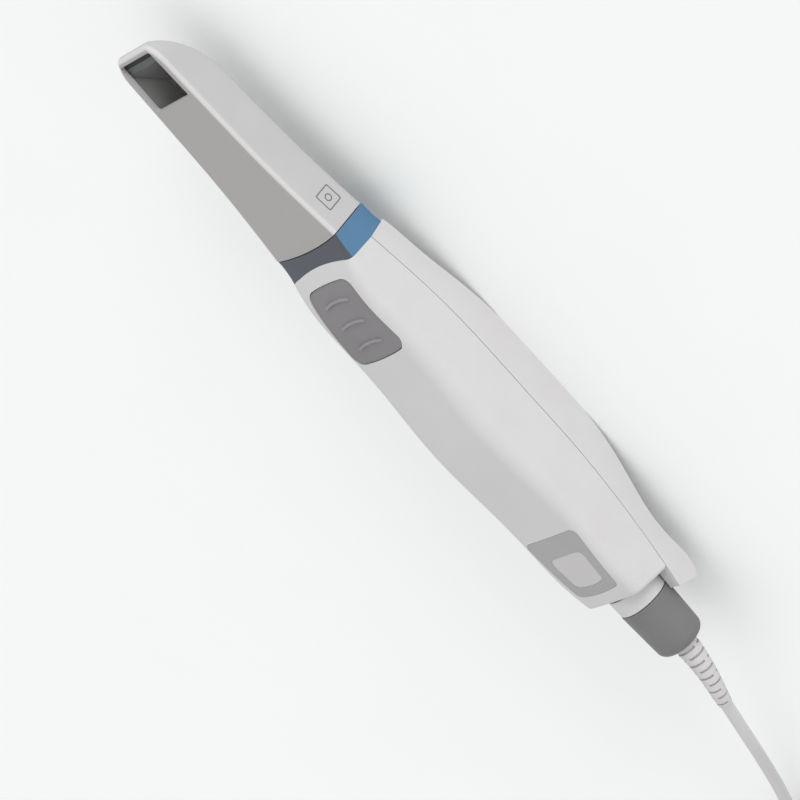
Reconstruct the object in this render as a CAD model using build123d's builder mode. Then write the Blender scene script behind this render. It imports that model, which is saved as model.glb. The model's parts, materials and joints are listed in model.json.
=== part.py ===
from build123d import *
import os
from math import atan, cos, degrees, pi, radians, tan

# Intraoral scanner lying on its back: a hand-held white body, a slip-on tip with a scanning
# window, a button in the front face and a cable on a ribbed strain relief.
# Frame in millimetres: +Y runs towards the tip, +Z out of the front face, +X to the side where
# the front face is on top. Z = 0 is the surface the belly rests on. The origin lies under the
# middle of the scanner's own box, without its cord.
# "Reach" is a distance along Y from the middle of the collar, positive towards the tip.

# Overall
NOSE_REACH = 86.3
TAIL_REACH = 174.0
COLLAR_Y = (TAIL_REACH - NOSE_REACH) / 2

# Body shells
BODY_LENGTH = 160.0
BODY_WIDTH = 36.2
BODY_HEIGHT = 34.0
BODY_ROUND = 6.8
BODY_CROWN = 0.6
BODY_DRAFT = 0.8
MIN_ROUND = 0.6
WALL = 2.0
SEAM_GAP = 0.2
FRONT_SHELL_REACH = 148.8
FRONT_SHELL_LEAN = 0.16
COVER_REACH = 156.0
COVER_LEAN = 0.40
END_WALL = 3.5
END_ROUND = 1.4
ARCH_REACH = 2.1
ARCH_RADIUS = 60.0
# Sections of the body: place along the length, half width, back, seam and front heights and
# corner rounding, each as a share of the overall size that governs it.
BODY_SECTIONS = (
    (0.000, 0.975, 0.262, 0.488, 0.765, 0.40),
    (0.075, 0.970, 0.160, 0.441, 0.888, 0.60),
    (0.188, 0.976, 0.076, 0.382, 0.932, 0.80),
    (0.344, 0.995, -0.018, 0.360, 0.965, 0.95),
    (0.469, 1.000, -0.024, 0.368, 1.000, 0.95),
    (0.594, 0.990, -0.015, 0.370, 0.971, 0.85),
    (0.738, 0.945, 0.088, 0.396, 0.941, 0.62),
    (0.875, 0.858, 0.185, 0.443, 0.932, 0.52),
    (1.000, 0.775, 0.238, 0.510, 0.918, 0.46),
)

# Collar
COLLAR_REAR_REACH = 8.0
COLLAR_GAP = 0.1
COLLAR_ROUND = 2.2
COLLAR_CROWN = 0.3
COLLAR_DRAFT = 0.2
SLATE_EDGE_Z = 25.1
SLATE_LEAN = 7.0

# Slip-on tip
TIP_GAP = 0.3
TIP_REAR_REACH = 3.2
TIP_REAR_RADIUS = 100.0
# Half widths of the tip by reach, from its rear to where its sides run straight
TIP_FLARE = ((3.2, 17.8), (20.0, 15.4), (40.0, 13.5), (60.0, 12.6))
TIP_FLARE_SLOPE = -0.16
TIP_FRONT_Z = 24.6
TIP_REAR_FRONT_Z = 25.3
TIP_REAR_BACK_Z = 9.6
TIP_BACK_Z = 10.1
TIP_BEND_REACH = 62.5
TIP_TURN_REACH = 78.0
TIP_TURN_HALF_WIDTH = 11.9
TIP_TURN_RADIUS = 12.4
TIP_TURN_ANGLE = 62.0
TIP_ROUND = 2.0
TIP_NOSE_ROUND = 2.2
TIP_POINT = 1.99
TIP_WALL = 1.4
WINDOW_LENGTH = 17.9
WINDOW_LIP = 2.6
WINDOW_WIDTH = 18.8
WINDOW_TAPER = 0.7
WINDOW_ROUND = 1.0
MIRROR_MARGIN = 0.4
MIRROR_ANGLE = 45.0
MIRROR_THICKNESS = 1.5
MIRROR_FOOT_REACH = 69.0
GLUE_LINE = 0.05

# Optical nose that the tip slides over
NOSE_LENGTH = 52.0
NOSE_CLEARANCE = 0.35
NOSE_WALL = 1.2
NOSE_FRONT_WALL = 2.4
NOSE_GLASS = 1.2
NOSE_FRAME = 1.6
SPRING_REACH = 24.0
SPRING_LENGTH = 12.0
SPRING_WIDTH = 4.0
SPRING_THICKNESS = 0.3
SPRING_POCKET = 0.5
SPRING_SPACING = 5.0

# Chassis and optics
CHASSIS_Z = 9.0
CHASSIS_THICKNESS = 2.0
CHASSIS_HALF_WIDTH = 13.0
CHASSIS_REACH = 124.0
FLANGE_REACH = 8.0
LENS_SPACING = 8.2
CAMERA_LENS_RADIUS = 3.2
PROJECTOR_LENS_RADIUS = 3.6
LENS_PROTRUSION = 3.0
LENS_CHAMFER = 0.5
HOLDER_LENGTH = 10.0
HOLDER_HALF_WIDTH = 12.2
CAMERA_BOARD_WIDTH = 7.4
CAMERA_BOARD_THICKNESS = 1.2
PROJECTOR_LENGTH = 16.0
PROJECTOR_WIDTH = 7.6
LIGHT_BOARD_THICKNESS = 1.4
HEAT_SINK_WIDTH = 16.0
HEAT_SINK_BASE = 2.0
HEAT_SINK_FIN_LENGTH = 7.5
HEAT_SINK_FINS = 5
HEAT_SINK_FIN_THICKNESS = 1.2

# Button and its board
BUTTON_REACH = 22.4
BUTTON_LENGTH = 28.0
BUTTON_WIDTH = 25.4
BUTTON_TAPER = 2.2
BUTTON_BOW = 0.9
BUTTON_ROUND = 4.2
BUTTON_GAP = 0.3
BUTTON_SINK = 0.4
BUTTON_TRAVEL = 0.4
BUTTON_FLANGE = 0.8
BUTTON_FLANGE_DROP = 0.9
RIDGE_PITCH = 8.3
RIDGE_LENGTH = 12.5
RIDGE_WIDTH = 0.9
RIDGE_HEIGHT = 0.5
RIDGE_BOW = 0.9
BUTTON_BOARD_Z = 22.6
BUTTON_BOARD_THICKNESS = 1.0
BUTTON_BOARD_WIDTH = 15.0
BUTTON_BOARD_LENGTH = 22.0
SWITCH_SIZE = 6.0
SWITCH_HEIGHT = 1.8
SWITCH_STEM_RADIUS = 1.5
SWITCH_STEM_HEIGHT = 0.7

# Main board
BOARD_STANDOFF = 3.6
BOARD_THICKNESS = 1.6
BOARD_WIDTH = 15.6
BOARD_REACH = 50.0
BOARD_LENGTH = 72.0
BOARD_ROUND = 1.0
BOARD_SCREW_INSET_X = 2.2
BOARD_SCREW_INSET_Y = 4.0
SHIELD_LENGTH = 38.0
SHIELD_WIDTH = 13.0
SHIELD_HEIGHT = 3.0
SHIELD_WALL = 0.4
SOCKET_WIDTH = 6.4
SOCKET_LENGTH = 4.5
SOCKET_HEIGHT = 2.2
FLEX_WIDTH = 5.0
FLEX_THICKNESS = 0.3
FLEX_DROP = 1.4

# Screws
SCREW_X = 10.6
SCREW_REACHES = (56.0, 118.0)
SCREW_RADIUS = 1.0
SCREW_HEAD_RADIUS = 1.9
SCREW_HEAD_HEIGHT = 1.4
SCREW_FIT = 0.03
SCREW_GRIP = 6.0
SCREW_SEAT_Z = 6.2
POST_RADIUS = 3.2
BOSS_RADIUS = 2.4
STANDOFF_RADIUS = 2.0
LIGHTENING_PITCH = 14.0

# Label plate in the front face
LABEL_REACH = 128.2
LABEL_LENGTH = 24.4
LABEL_WIDTH_TOP = 27.0
LABEL_WIDTH_BOTTOM = 21.0
LABEL_ROUND = 2.4
LABEL_BOW = 0.9
LABEL_FLAT_BOW = 0.1
LABEL_DEPTH = 0.8
LABEL_GAP = 0.1
PANEL_REACH = 130.2
PANEL_LENGTH = 12.4
PANEL_WIDTH_TOP = 17.2
PANEL_WIDTH_BOTTOM = 14.4
PANEL_DEPTH = 0.35
FILM_GAP = 0.02

# Neck, sleeve and strain relief on one level axis
TAIL_AXIS_Z = 20.5
NECK_RIM_REACH = 153.6
NECK_BASE_RADIUS = 9.3
NECK_RIM_RADIUS = 9.2
NECK_SEAT = 1.5
NECK_BORE_RADIUS = 5.0
SPIGOT_RADIUS = 5.8
SPIGOT_LENGTH = 3.4
NUT_RADIUS = 7.6
NUT_LENGTH = 2.4
FIT_GAP = 0.1
SLEEVE_RADIUS = 9.4
SLEEVE_END_RADIUS = 8.6
SLEEVE_WALL = 1.7
SLEEVE_ROUND = 3.4
SLEEVE_START_ROUND = 0.4
SLEEVE_GAP = 0.3
SLEEVE_END_WALL = 3.4
PLUG_NOSE_LENGTH = 3.6
RELIEF_RADIUS = 4.25
RELIEF_END_RADIUS = 2.45
RELIEF_RIBS = 9
RELIEF_SLOT = 0.9
RELIEF_WEB = 1.6
RELIEF_SLOT_DEPTH = 0.9
RELIEF_FIRST_SLOT = 0.7
RELIEF_STATIONS = (0.0, 0.35, 0.7, 1.0)

# Cord
CORD_DIAMETER = 4.2
ARC_SHARE = 0.45
LEAD_DIAMETER = 3.4
LEAD_PLUG_LENGTH = 4.0
LEAD_BEND_SHARE = 0.35
COIL_COLUMNS = 3
COIL_LAYERS = 4
COIL_MEAN_DIAMETER = 46.0
COIL_TURNS = 11.4
COIL_ROUND = 3.0
TIE_WIDTH = 12.0
TIE_THICKNESS = 1.2

# Computer plug at the far end
PLUG_BODY_LENGTH = 27.0
PLUG_BODY_WIDTH = 15.6
PLUG_BODY_HEIGHT = 8.6
PLUG_ROUND = 2.0
PLUG_SHELL_LENGTH = 12.0
PLUG_SHELL_WIDTH = 12.0
PLUG_SHELL_HEIGHT = 4.5
PLUG_SHELL_WALL = 0.4
PLUG_TONGUE_THICKNESS = 1.8
PLUG_TONGUE_INSET = 1.0
PLUG_RELIEF_LENGTH = 9.0
PLUG_RELIEF_RADIUS = 3.6
PLUG_RELIEF_TAPER = 1.0

os.makedirs("parts", exist_ok=True)


def along(reach):
    """Y of a place at the given reach from the middle of the collar."""
    return COLLAR_Y + reach


def write(builder, name):
    """Label a finished piece and write it."""
    builder.part.label = name
    export_step(builder.part, f"parts/{name}.step")


def body_size(reach):
    """Half width, back, seam and front heights of the body at a reach behind the collar."""
    share = reach / BODY_LENGTH
    for near, far in zip(BODY_SECTIONS, BODY_SECTIONS[1:]):
        if share <= far[0] or far is BODY_SECTIONS[-1]:
            part = (share - near[0]) / (far[0] - near[0])
            mixed = [a + (b - a) * part for a, b in zip(near[1:5], far[1:5])]
            return mixed[0] * BODY_WIDTH / 2, *(height * BODY_HEIGHT for height in mixed[1:])


def body_section(reach, half_width, back, seam, front, rounding, inset=0.0, crown=BODY_CROWN,
                 draft=BODY_DRAFT):
    """Cross section at a reach: crowned front and back, drafted sides that meet at the seam."""
    half, low, high = half_width - inset, back + inset, front - inset
    top, bottom = half - draft, half - 1.5 * draft
    with BuildSketch(Plane.XZ.offset(-along(reach))) as section:
        with BuildLine():
            ThreePointArc((-top, high - crown), (0, high), (top, high - crown))
            Polyline((top, high - crown), (half, seam), (bottom, low + crown))
            ThreePointArc((bottom, low + crown), (0, low), (-bottom, low + crown))
            Polyline((-bottom, low + crown), (-half, seam), (-top, high - crown))
        make_face()
        corners = section.vertices().sort_by(Axis.Y)
        fillet(corners[-2:], max(rounding - inset, MIN_ROUND))
        fillet(corners[:2], max(0.8 * rounding - inset, MIN_ROUND))
    return section.sketch


def body_form(inset=0.0):
    """The whole body as one solid, moved inwards by the inset."""
    with BuildPart() as form:
        for share, width, back, seam, front, rounding in BODY_SECTIONS:
            add(body_section(-share * BODY_LENGTH, width * BODY_WIDTH / 2, back * BODY_HEIGHT,
                             seam * BODY_HEIGHT, front * BODY_HEIGHT, rounding * BODY_ROUND, inset))
        loft()
    return form.part


def seam_zone(above, reach, lean):
    """Region above or below the seam, from the arch at the collar to a leaning tail end.

    The tail end is at the given reach where it meets the seam, and shorter by lean for each
    millimetre of height above it.
    """
    side = 1 if above else -1
    far = 2 * BODY_HEIGHT
    seam_points = [(along(-share * BODY_LENGTH), seam * BODY_HEIGHT + side * SEAM_GAP / 2)
                   for share, _, _, seam, _, _ in BODY_SECTIONS]
    seam_height = body_size(reach)[2]
    with BuildPart() as zone:
        with BuildSketch(Plane.YZ):
            with BuildLine():
                curve = Spline(*seam_points)
                Polyline(curve @ 0, ((curve @ 0).X, side * far), ((curve @ 1).X, side * far), curve @ 1)
            make_face()
        extrude(amount=BODY_WIDTH, both=True)
        with BuildSketch(Plane.YZ):
            with BuildLine():
                Polyline((along(-reach - lean * (seam_height + far)), -far),
                         (along(-reach + lean * (far - seam_height)), far),
                         (along(COLLAR_REAR_REACH), far), (along(COLLAR_REAR_REACH), -far),
                         close=True)
            make_face()
        extrude(amount=BODY_WIDTH, both=True, mode=Mode.INTERSECT)
        add(arch_column(0.0), mode=Mode.INTERSECT)
    return zone.part


def arch_column(gap):
    """Upright column behind the arch where the white shells end at the collar, less a gap."""
    centre = along(-ARCH_REACH) - ARCH_RADIUS
    with BuildPart() as column:
        with BuildSketch(Plane.XY.offset(-BODY_HEIGHT)):
            with Locations((0, centre)):
                Circle(ARCH_RADIUS - gap)
            with Locations((0, centre)):
                Rectangle(2 * (ARCH_RADIUS - gap), 4 * BODY_LENGTH, align=(Align.CENTER, Align.MAX))
        extrude(amount=3 * BODY_HEIGHT)
    return column.part


def lowered(form, depth):
    """A copy of a solid moved down by a depth."""
    return form.moved(Location((0, 0, -depth)))


def trapezoid(reach, length, width_front, width_rear, bow_front, bow_rear, rounding, margin=0.0):
    """Prism over the front face with bowed ends and rounded corners, grown by a margin."""
    front, rear = along(-reach) + length / 2 + margin, along(-reach) - length / 2 - margin
    near, far = width_front / 2 + margin, width_rear / 2 + margin
    with BuildPart() as prism:
        with BuildSketch(Plane.XY.offset(CHASSIS_Z)) as outline:
            with BuildLine():
                ThreePointArc((-near, front), (0, front + bow_front), (near, front))
                Line((near, front), (far, rear))
                ThreePointArc((far, rear), (0, rear - bow_rear), (-far, rear))
                Line((-far, rear), (-near, front))
            make_face()
            fillet(outline.vertices(), rounding + margin)
        extrude(amount=BODY_HEIGHT)
    return prism.part


def tip_front(reach):
    """Height of the tip's front face, which rises evenly from the nose to the collar."""
    return TIP_FRONT_Z + (TIP_REAR_FRONT_Z - TIP_FRONT_Z) * (NOSE_REACH + TIP_POINT - reach) / NOSE_REACH


def tip_form(inset, rear):
    """The tip's outline as one solid, moved inwards by the inset, from a rear reach to the nose."""
    start, bend, nose = along(rear - 2 * inset), along(TIP_BEND_REACH), along(NOSE_REACH + TIP_POINT)
    back_slope = (TIP_BACK_Z - TIP_REAR_BACK_Z) / TIP_BEND_REACH
    straight_slope = (TIP_TURN_HALF_WIDTH - TIP_FLARE[-1][1]) / (TIP_TURN_REACH - TIP_FLARE[-1][0])
    flare = [(half - inset, along(reach)) for reach, half in TIP_FLARE]
    with BuildPart() as form:
        with BuildSketch(Plane.YZ) as side:
            with BuildLine():
                Polyline((nose, TIP_FRONT_Z), (start, tip_front(rear - 2 * inset)),
                         (start, TIP_BACK_Z - back_slope * (bend - start)), (bend, TIP_BACK_Z))
                TangentArc((bend, TIP_BACK_Z), (nose, TIP_FRONT_Z), tangent=(1, back_slope))
            make_face()
            fillet(side.vertices().sort_by(Axis.X)[-1], TIP_NOSE_ROUND)
            offset(amount=-inset, kind=Kind.INTERSECTION, mode=Mode.REPLACE)
        extrude(amount=BODY_WIDTH, both=True)
        with BuildSketch(Plane.XY):
            with BuildLine():
                Polyline((0, start), (flare[0][0], start), flare[0])
                Spline(*flare, tangents=((TIP_FLARE_SLOPE, 1), (straight_slope, 1)))
                straight = Line(flare[-1], (TIP_TURN_HALF_WIDTH - inset, along(TIP_TURN_REACH)))
                corner = JernArc(straight @ 1, straight % 1, TIP_TURN_RADIUS - inset, TIP_TURN_ANGLE)
                Line(corner @ 1, (0, (corner @ 1).Y))
                mirror(about=Plane.YZ)
            make_face()
        extrude(amount=BODY_HEIGHT, mode=Mode.INTERSECT)
    return form.part


def slab(near, far):
    """Box between two reaches, wider and higher than the scanner."""
    with BuildPart() as box:
        with Locations((0, (along(near) + along(far)) / 2, 0)):
            Box(4 * BODY_WIDTH, abs(far - near), 4 * BODY_HEIGHT)
    return box.part


# The body's outside, cut flat where it rests, and its inside
with BuildPart() as body_outer:
    add(body_form())
    Box(4 * BODY_LENGTH, 4 * BODY_LENGTH, 4 * BODY_HEIGHT,
        align=(Align.CENTER, Align.CENTER, Align.MIN), mode=Mode.INTERSECT)
outer = body_outer.part
inner = body_form(WALL)

# Heights and places that several pieces share
CHASSIS_TOP = CHASSIS_Z + CHASSIS_THICKNESS
NOSE_INSET = TIP_WALL + NOSE_CLEARANCE
NOSE_TOP = TIP_FRONT_Z - NOSE_INSET
NOSE_BOTTOM = TIP_REAR_BACK_Z + NOSE_INSET
LENS_Z = (NOSE_TOP + NOSE_BOTTOM) / 2
WALL_REACH = FRONT_SHELL_REACH - END_WALL
SPRING_SEAT_Z = tip_front(SPRING_REACH) - NOSE_INSET - SPRING_POCKET
SEAT_REACH = FRONT_SHELL_REACH - NECK_SEAT
SCREW_PLACES = [(side * SCREW_X, along(-reach)) for side in (-1, 1) for reach in SCREW_REACHES]
TAIL = Plane(origin=(0, 0, TAIL_AXIS_Z), x_dir=(0, 1, 0), z_dir=(1, 0, 0))
TAIL_AXIS = Axis((0, 0, TAIL_AXIS_Z), (0, 1, 0))


def nose_room(inset, front_reach):
    """Room for the optical nose: free in front of the body, within its inside behind that."""
    with BuildPart() as room:
        add(body_form(inset))
        add(slab(0, -FLANGE_REACH), mode=Mode.INTERSECT)
        add(slab(front_reach, 0))
    return room.part


def turned(*outline):
    """Solid turned about the tail axis from (reach behind the collar, radius) points."""
    with BuildPart() as turning:
        with BuildSketch(TAIL):
            with BuildLine():
                Polyline(*[(along(-reach), radius) for reach, radius in outline], close=True)
            make_face()
        revolve(axis=TAIL_AXIS)
    return turning.part


# White front shell
button_outline = (BUTTON_REACH, BUTTON_LENGTH, BUTTON_WIDTH - BUTTON_TAPER,
                  BUTTON_WIDTH + BUTTON_TAPER, BUTTON_BOW, BUTTON_BOW, BUTTON_ROUND)
label_outline = (LABEL_REACH, LABEL_LENGTH, LABEL_WIDTH_TOP, LABEL_WIDTH_BOTTOM, LABEL_FLAT_BOW,
                 LABEL_BOW, LABEL_ROUND)
panel_outline = (PANEL_REACH, PANEL_LENGTH, PANEL_WIDTH_TOP, PANEL_WIDTH_BOTTOM, LABEL_FLAT_BOW,
                 LABEL_BOW, LABEL_ROUND)
with BuildPart() as bosses:
    with BuildSketch(Plane.XY.offset(CHASSIS_TOP)):
        with Locations(*SCREW_PLACES):
            Circle(BOSS_RADIUS)
    extrude(amount=BODY_HEIGHT)
    with BuildSketch(Plane.XY.offset(CHASSIS_TOP)):
        with Locations(*SCREW_PLACES):
            Circle(SCREW_RADIUS + SCREW_FIT)
    extrude(amount=SCREW_GRIP + SCREW_RADIUS, mode=Mode.SUBTRACT)
    add(outer, mode=Mode.INTERSECT)
with BuildPart() as label_recess:
    add(trapezoid(*label_outline))
    add(lowered(outer, LABEL_DEPTH), mode=Mode.SUBTRACT)
with BuildPart() as cavity:
    add(inner)
    add(slab(COLLAR_REAR_REACH, -WALL_REACH), mode=Mode.INTERSECT)
with BuildPart() as front_shell:
    add(outer)
    add(seam_zone(True, FRONT_SHELL_REACH, FRONT_SHELL_LEAN), mode=Mode.INTERSECT)
    end_face = front_shell.faces().sort_by(Axis.Y)[0]
    fillet(end_face.edges().sort_by(Axis.Z)[1:], END_ROUND)
    add(cavity.part, mode=Mode.SUBTRACT)
    add(bosses.part)
    add(trapezoid(*button_outline), mode=Mode.SUBTRACT)
    add(label_recess.part, mode=Mode.SUBTRACT)
    add(turned((WALL_REACH - 1, 0), (WALL_REACH - 1, SPIGOT_RADIUS + FIT_GAP),
               (SEAT_REACH, SPIGOT_RADIUS + FIT_GAP), (SEAT_REACH, NECK_BASE_RADIUS + FIT_GAP),
               (BODY_LENGTH, NECK_BASE_RADIUS + FIT_GAP), (BODY_LENGTH, 0)), mode=Mode.SUBTRACT)
write(front_shell, "front_shell")

# White back cover with a bulkhead at the tail and four screw posts
with BuildPart() as posts:
    with BuildSketch(Plane.XY):
        with Locations(*SCREW_PLACES):
            Circle(POST_RADIUS)
    extrude(amount=CHASSIS_Z)
    add(outer, mode=Mode.INTERSECT)
with BuildPart() as back_shape:
    add(outer)
    add(seam_zone(False, COVER_REACH, COVER_LEAN), mode=Mode.INTERSECT)
with BuildPart() as bulkhead:
    add(back_shape.part)
    add(slab(-WALL_REACH, -SEAT_REACH), mode=Mode.INTERSECT)
    add(turned((WALL_REACH - 1, 0), (WALL_REACH - 1, SPIGOT_RADIUS + FIT_GAP),
               (SEAT_REACH + 1, SPIGOT_RADIUS + FIT_GAP), (SEAT_REACH + 1, 0)), mode=Mode.SUBTRACT)
with BuildPart() as back_cover:
    add(back_shape.part)
    add(inner, mode=Mode.SUBTRACT)
    add(bulkhead.part)
    add(posts.part)
    with BuildSketch(Plane.XY.offset(-BODY_HEIGHT)):
        with Locations(*SCREW_PLACES):
            Circle(SCREW_HEAD_RADIUS + 2 * FIT_GAP)
    extrude(amount=BODY_HEIGHT + SCREW_SEAT_Z, mode=Mode.SUBTRACT)
    with BuildSketch(Plane.XY):
        with Locations(*SCREW_PLACES):
            Circle(SCREW_RADIUS + FIT_GAP)
    extrude(amount=CHASSIS_Z + 1, mode=Mode.SUBTRACT)
write(back_cover, "back_cover")

# Screws that clamp cover, chassis and front shell together
with BuildPart() as shell_screws:
    with BuildSketch(Plane.XY.offset(SCREW_SEAT_Z - SCREW_HEAD_HEIGHT)):
        with Locations(*SCREW_PLACES):
            Circle(SCREW_HEAD_RADIUS)
    extrude(amount=SCREW_HEAD_HEIGHT)
    with BuildSketch(Plane.XY.offset(SCREW_SEAT_Z)):
        with Locations(*SCREW_PLACES):
            Circle(SCREW_RADIUS)
    extrude(amount=CHASSIS_TOP + SCREW_GRIP - SCREW_SEAT_Z)
    with BuildSketch(Plane.XY.offset(SCREW_SEAT_Z - SCREW_HEAD_HEIGHT)):
        with Locations(*SCREW_PLACES):
            RegularPolygon(SCREW_HEAD_RADIUS / 2, 6)
    extrude(amount=SCREW_HEAD_HEIGHT / 2, mode=Mode.SUBTRACT)
write(shell_screws, "shell_screws")

# Collar: a blue band round the sides and back, and a slate piece across the front
with BuildPart() as collar:
    front_reach = TIP_REAR_REACH + 2.0
    add(body_section(front_reach, TIP_FLARE[0][1], TIP_REAR_BACK_Z, LENS_Z, TIP_REAR_FRONT_Z,
                     COLLAR_ROUND, crown=COLLAR_CROWN, draft=COLLAR_DRAFT))
    for reach in (COLLAR_REAR_REACH / 4, COLLAR_REAR_REACH):
        add(body_section(-reach, *body_size(reach), COLLAR_ROUND))
    loft()
    with BuildSketch(Plane.XY):
        with Locations((0, along(TIP_REAR_REACH) + TIP_REAR_RADIUS)):
            Circle(TIP_REAR_RADIUS + TIP_GAP)
    extrude(amount=BODY_HEIGHT, mode=Mode.SUBTRACT)
    add(arch_column(-COLLAR_GAP), mode=Mode.SUBTRACT)
    add(tip_form(NOSE_INSET - FIT_GAP, -COLLAR_REAR_REACH), mode=Mode.SUBTRACT)
slate_edge = Plane(Location((0, COLLAR_Y, SLATE_EDGE_Z), (-SLATE_LEAN, 0, 0)))
with BuildPart() as collar_front:
    add(collar.part)
    split(bisect_by=slate_edge, keep=Keep.TOP)
write(collar_front, "collar_front")
with BuildPart() as collar_band:
    add(collar.part)
    split(bisect_by=slate_edge, keep=Keep.BOTTOM)
write(collar_band, "collar_band")

# Slip-on tip, a hollow beak with the scanning window in its front face
with BuildPart() as tip_shell:
    add(tip_form(0.0, -COLLAR_REAR_REACH))
    rear_y = tip_shell.faces().sort_by(Axis.Y)[0].center().Y
    rims = [edge for edge in tip_shell.edges()
            if abs(edge.center().X) > TIP_ROUND and edge.bounding_box().max.Y > rear_y + 1]
    fillet(rims, TIP_ROUND)
    with BuildSketch(Plane.XY):
        with Locations((0, along(TIP_REAR_REACH) + TIP_REAR_RADIUS)):
            Circle(TIP_REAR_RADIUS)
    extrude(amount=BODY_HEIGHT, mode=Mode.INTERSECT)
    add(tip_form(TIP_WALL, -2 * COLLAR_REAR_REACH), mode=Mode.SUBTRACT)
    window_far = along(NOSE_REACH - WINDOW_LIP)
    with BuildSketch(Plane.XY.offset(TIP_FRONT_Z - 2 * TIP_WALL)) as window:
        with BuildLine():
            near_half, far_half = WINDOW_WIDTH / 2, WINDOW_WIDTH / 2 - WINDOW_TAPER
            Polyline((-near_half, window_far - WINDOW_LENGTH), (near_half, window_far - WINDOW_LENGTH),
                     (far_half, window_far), (-far_half, window_far), close=True)
        make_face()
        fillet(window.vertices(), WINDOW_ROUND)
    extrude(amount=BODY_HEIGHT, mode=Mode.SUBTRACT)
write(tip_shell, "tip_shell")

# Mirror at the nose, on a black wedge that follows the inside of the tip
mirror_foot = (along(MIRROR_FOOT_REACH), TIP_BACK_Z)
mirror_far = (mirror_foot[0] + BODY_HEIGHT, mirror_foot[1] + BODY_HEIGHT * tan(radians(MIRROR_ANGLE)))
mirror_rise = MIRROR_THICKNESS / cos(radians(MIRROR_ANGLE))
with BuildPart() as mirror_holder:
    add(tip_form(TIP_WALL + GLUE_LINE, -COLLAR_REAR_REACH))
    with BuildSketch(Plane.YZ):
        with BuildLine():
            Polyline(mirror_foot, mirror_far, (mirror_far[0], 0), (mirror_foot[0], 0), close=True)
        make_face()
    extrude(amount=BODY_WIDTH, both=True, mode=Mode.INTERSECT)
write(mirror_holder, "mirror_holder")
with BuildPart() as tip_mirror:
    add(tip_form(TIP_WALL + MIRROR_MARGIN, -COLLAR_REAR_REACH))
    with BuildSketch(Plane.YZ):
        with BuildLine():
            Polyline(mirror_foot, mirror_far, (mirror_far[0], mirror_far[1] + mirror_rise),
                     (mirror_foot[0], mirror_foot[1] + mirror_rise), close=True)
        make_face()
    extrude(amount=BODY_WIDTH, both=True, mode=Mode.INTERSECT)
write(tip_mirror, "tip_mirror")

# Black optical nose that the tip slides over, with a glass window at its front end
with BuildPart() as light_way:
    add(tip_form(NOSE_INSET + NOSE_WALL, -2 * FLANGE_REACH))
    add(nose_room(WALL + FIT_GAP + NOSE_WALL, NOSE_LENGTH - NOSE_FRONT_WALL), mode=Mode.INTERSECT)
with BuildPart() as optical_nose:
    add(tip_form(NOSE_INSET, -FLANGE_REACH))
    add(nose_room(WALL + FIT_GAP, NOSE_LENGTH), mode=Mode.INTERSECT)
    add(light_way.part, mode=Mode.SUBTRACT)
    nose_face = Plane.XZ.offset(-along(NOSE_LENGTH))
    glass_z = (NOSE_TOP + TIP_BACK_Z + NOSE_INSET) / 2
    glass_width = 2 * (TIP_FLARE[-1][1] - NOSE_INSET - NOSE_WALL)
    glass_height = NOSE_TOP - TIP_BACK_Z - NOSE_INSET - 2 * NOSE_WALL
    with BuildSketch(nose_face):
        with Locations((0, glass_z)):
            RectangleRounded(glass_width - 2 * NOSE_FRAME, glass_height - 2 * NOSE_FRAME, NOSE_FRAME)
    extrude(amount=2 * NOSE_FRONT_WALL, mode=Mode.SUBTRACT)
    with BuildSketch(nose_face):
        with Locations((0, glass_z)):
            RectangleRounded(glass_width, glass_height, NOSE_FRAME)
    extrude(amount=NOSE_GLASS, mode=Mode.SUBTRACT)
    with BuildSketch(Plane.XY.offset(SPRING_SEAT_Z)):
        with Locations(*[(side * SPRING_SPACING, along(SPRING_REACH)) for side in (-1, 1)]):
            Rectangle(SPRING_WIDTH + FIT_GAP, SPRING_LENGTH + FIT_GAP)
    extrude(amount=2 * SPRING_POCKET, mode=Mode.SUBTRACT)
write(optical_nose, "optical_nose")
with BuildPart() as nose_window:
    with BuildSketch(nose_face):
        with Locations((0, glass_z)):
            RectangleRounded(glass_width - FIT_GAP, glass_height - FIT_GAP, NOSE_FRAME)
    extrude(amount=NOSE_GLASS)
write(nose_window, "nose_window")
for side, name in ((-1, "left"), (1, "right")):
    with BuildPart() as tip_spring:
        with BuildSketch(Plane.YZ.offset(side * SPRING_SPACING)):
            with BuildLine():
                base, half = SPRING_SEAT_Z, SPRING_LENGTH / 2
                crown = SPRING_POCKET + NOSE_CLEARANCE / 3
                middle = along(SPRING_REACH)
                Spline((middle - half, base), (middle, base + crown - SPRING_THICKNESS),
                       (middle + half, base), tangents=((1, 0), (1, 0)))
                Line((middle + half, base), (middle + half, base + SPRING_THICKNESS))
                Spline((middle + half, base + SPRING_THICKNESS), (middle, base + crown),
                       (middle - half, base + SPRING_THICKNESS), tangents=((-1, 0), (-1, 0)))
                Line((middle - half, base + SPRING_THICKNESS), (middle - half, base))
            make_face()
        extrude(amount=SPRING_WIDTH / 2, both=True)
    write(tip_spring, f"tip_spring_{name}")

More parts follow.
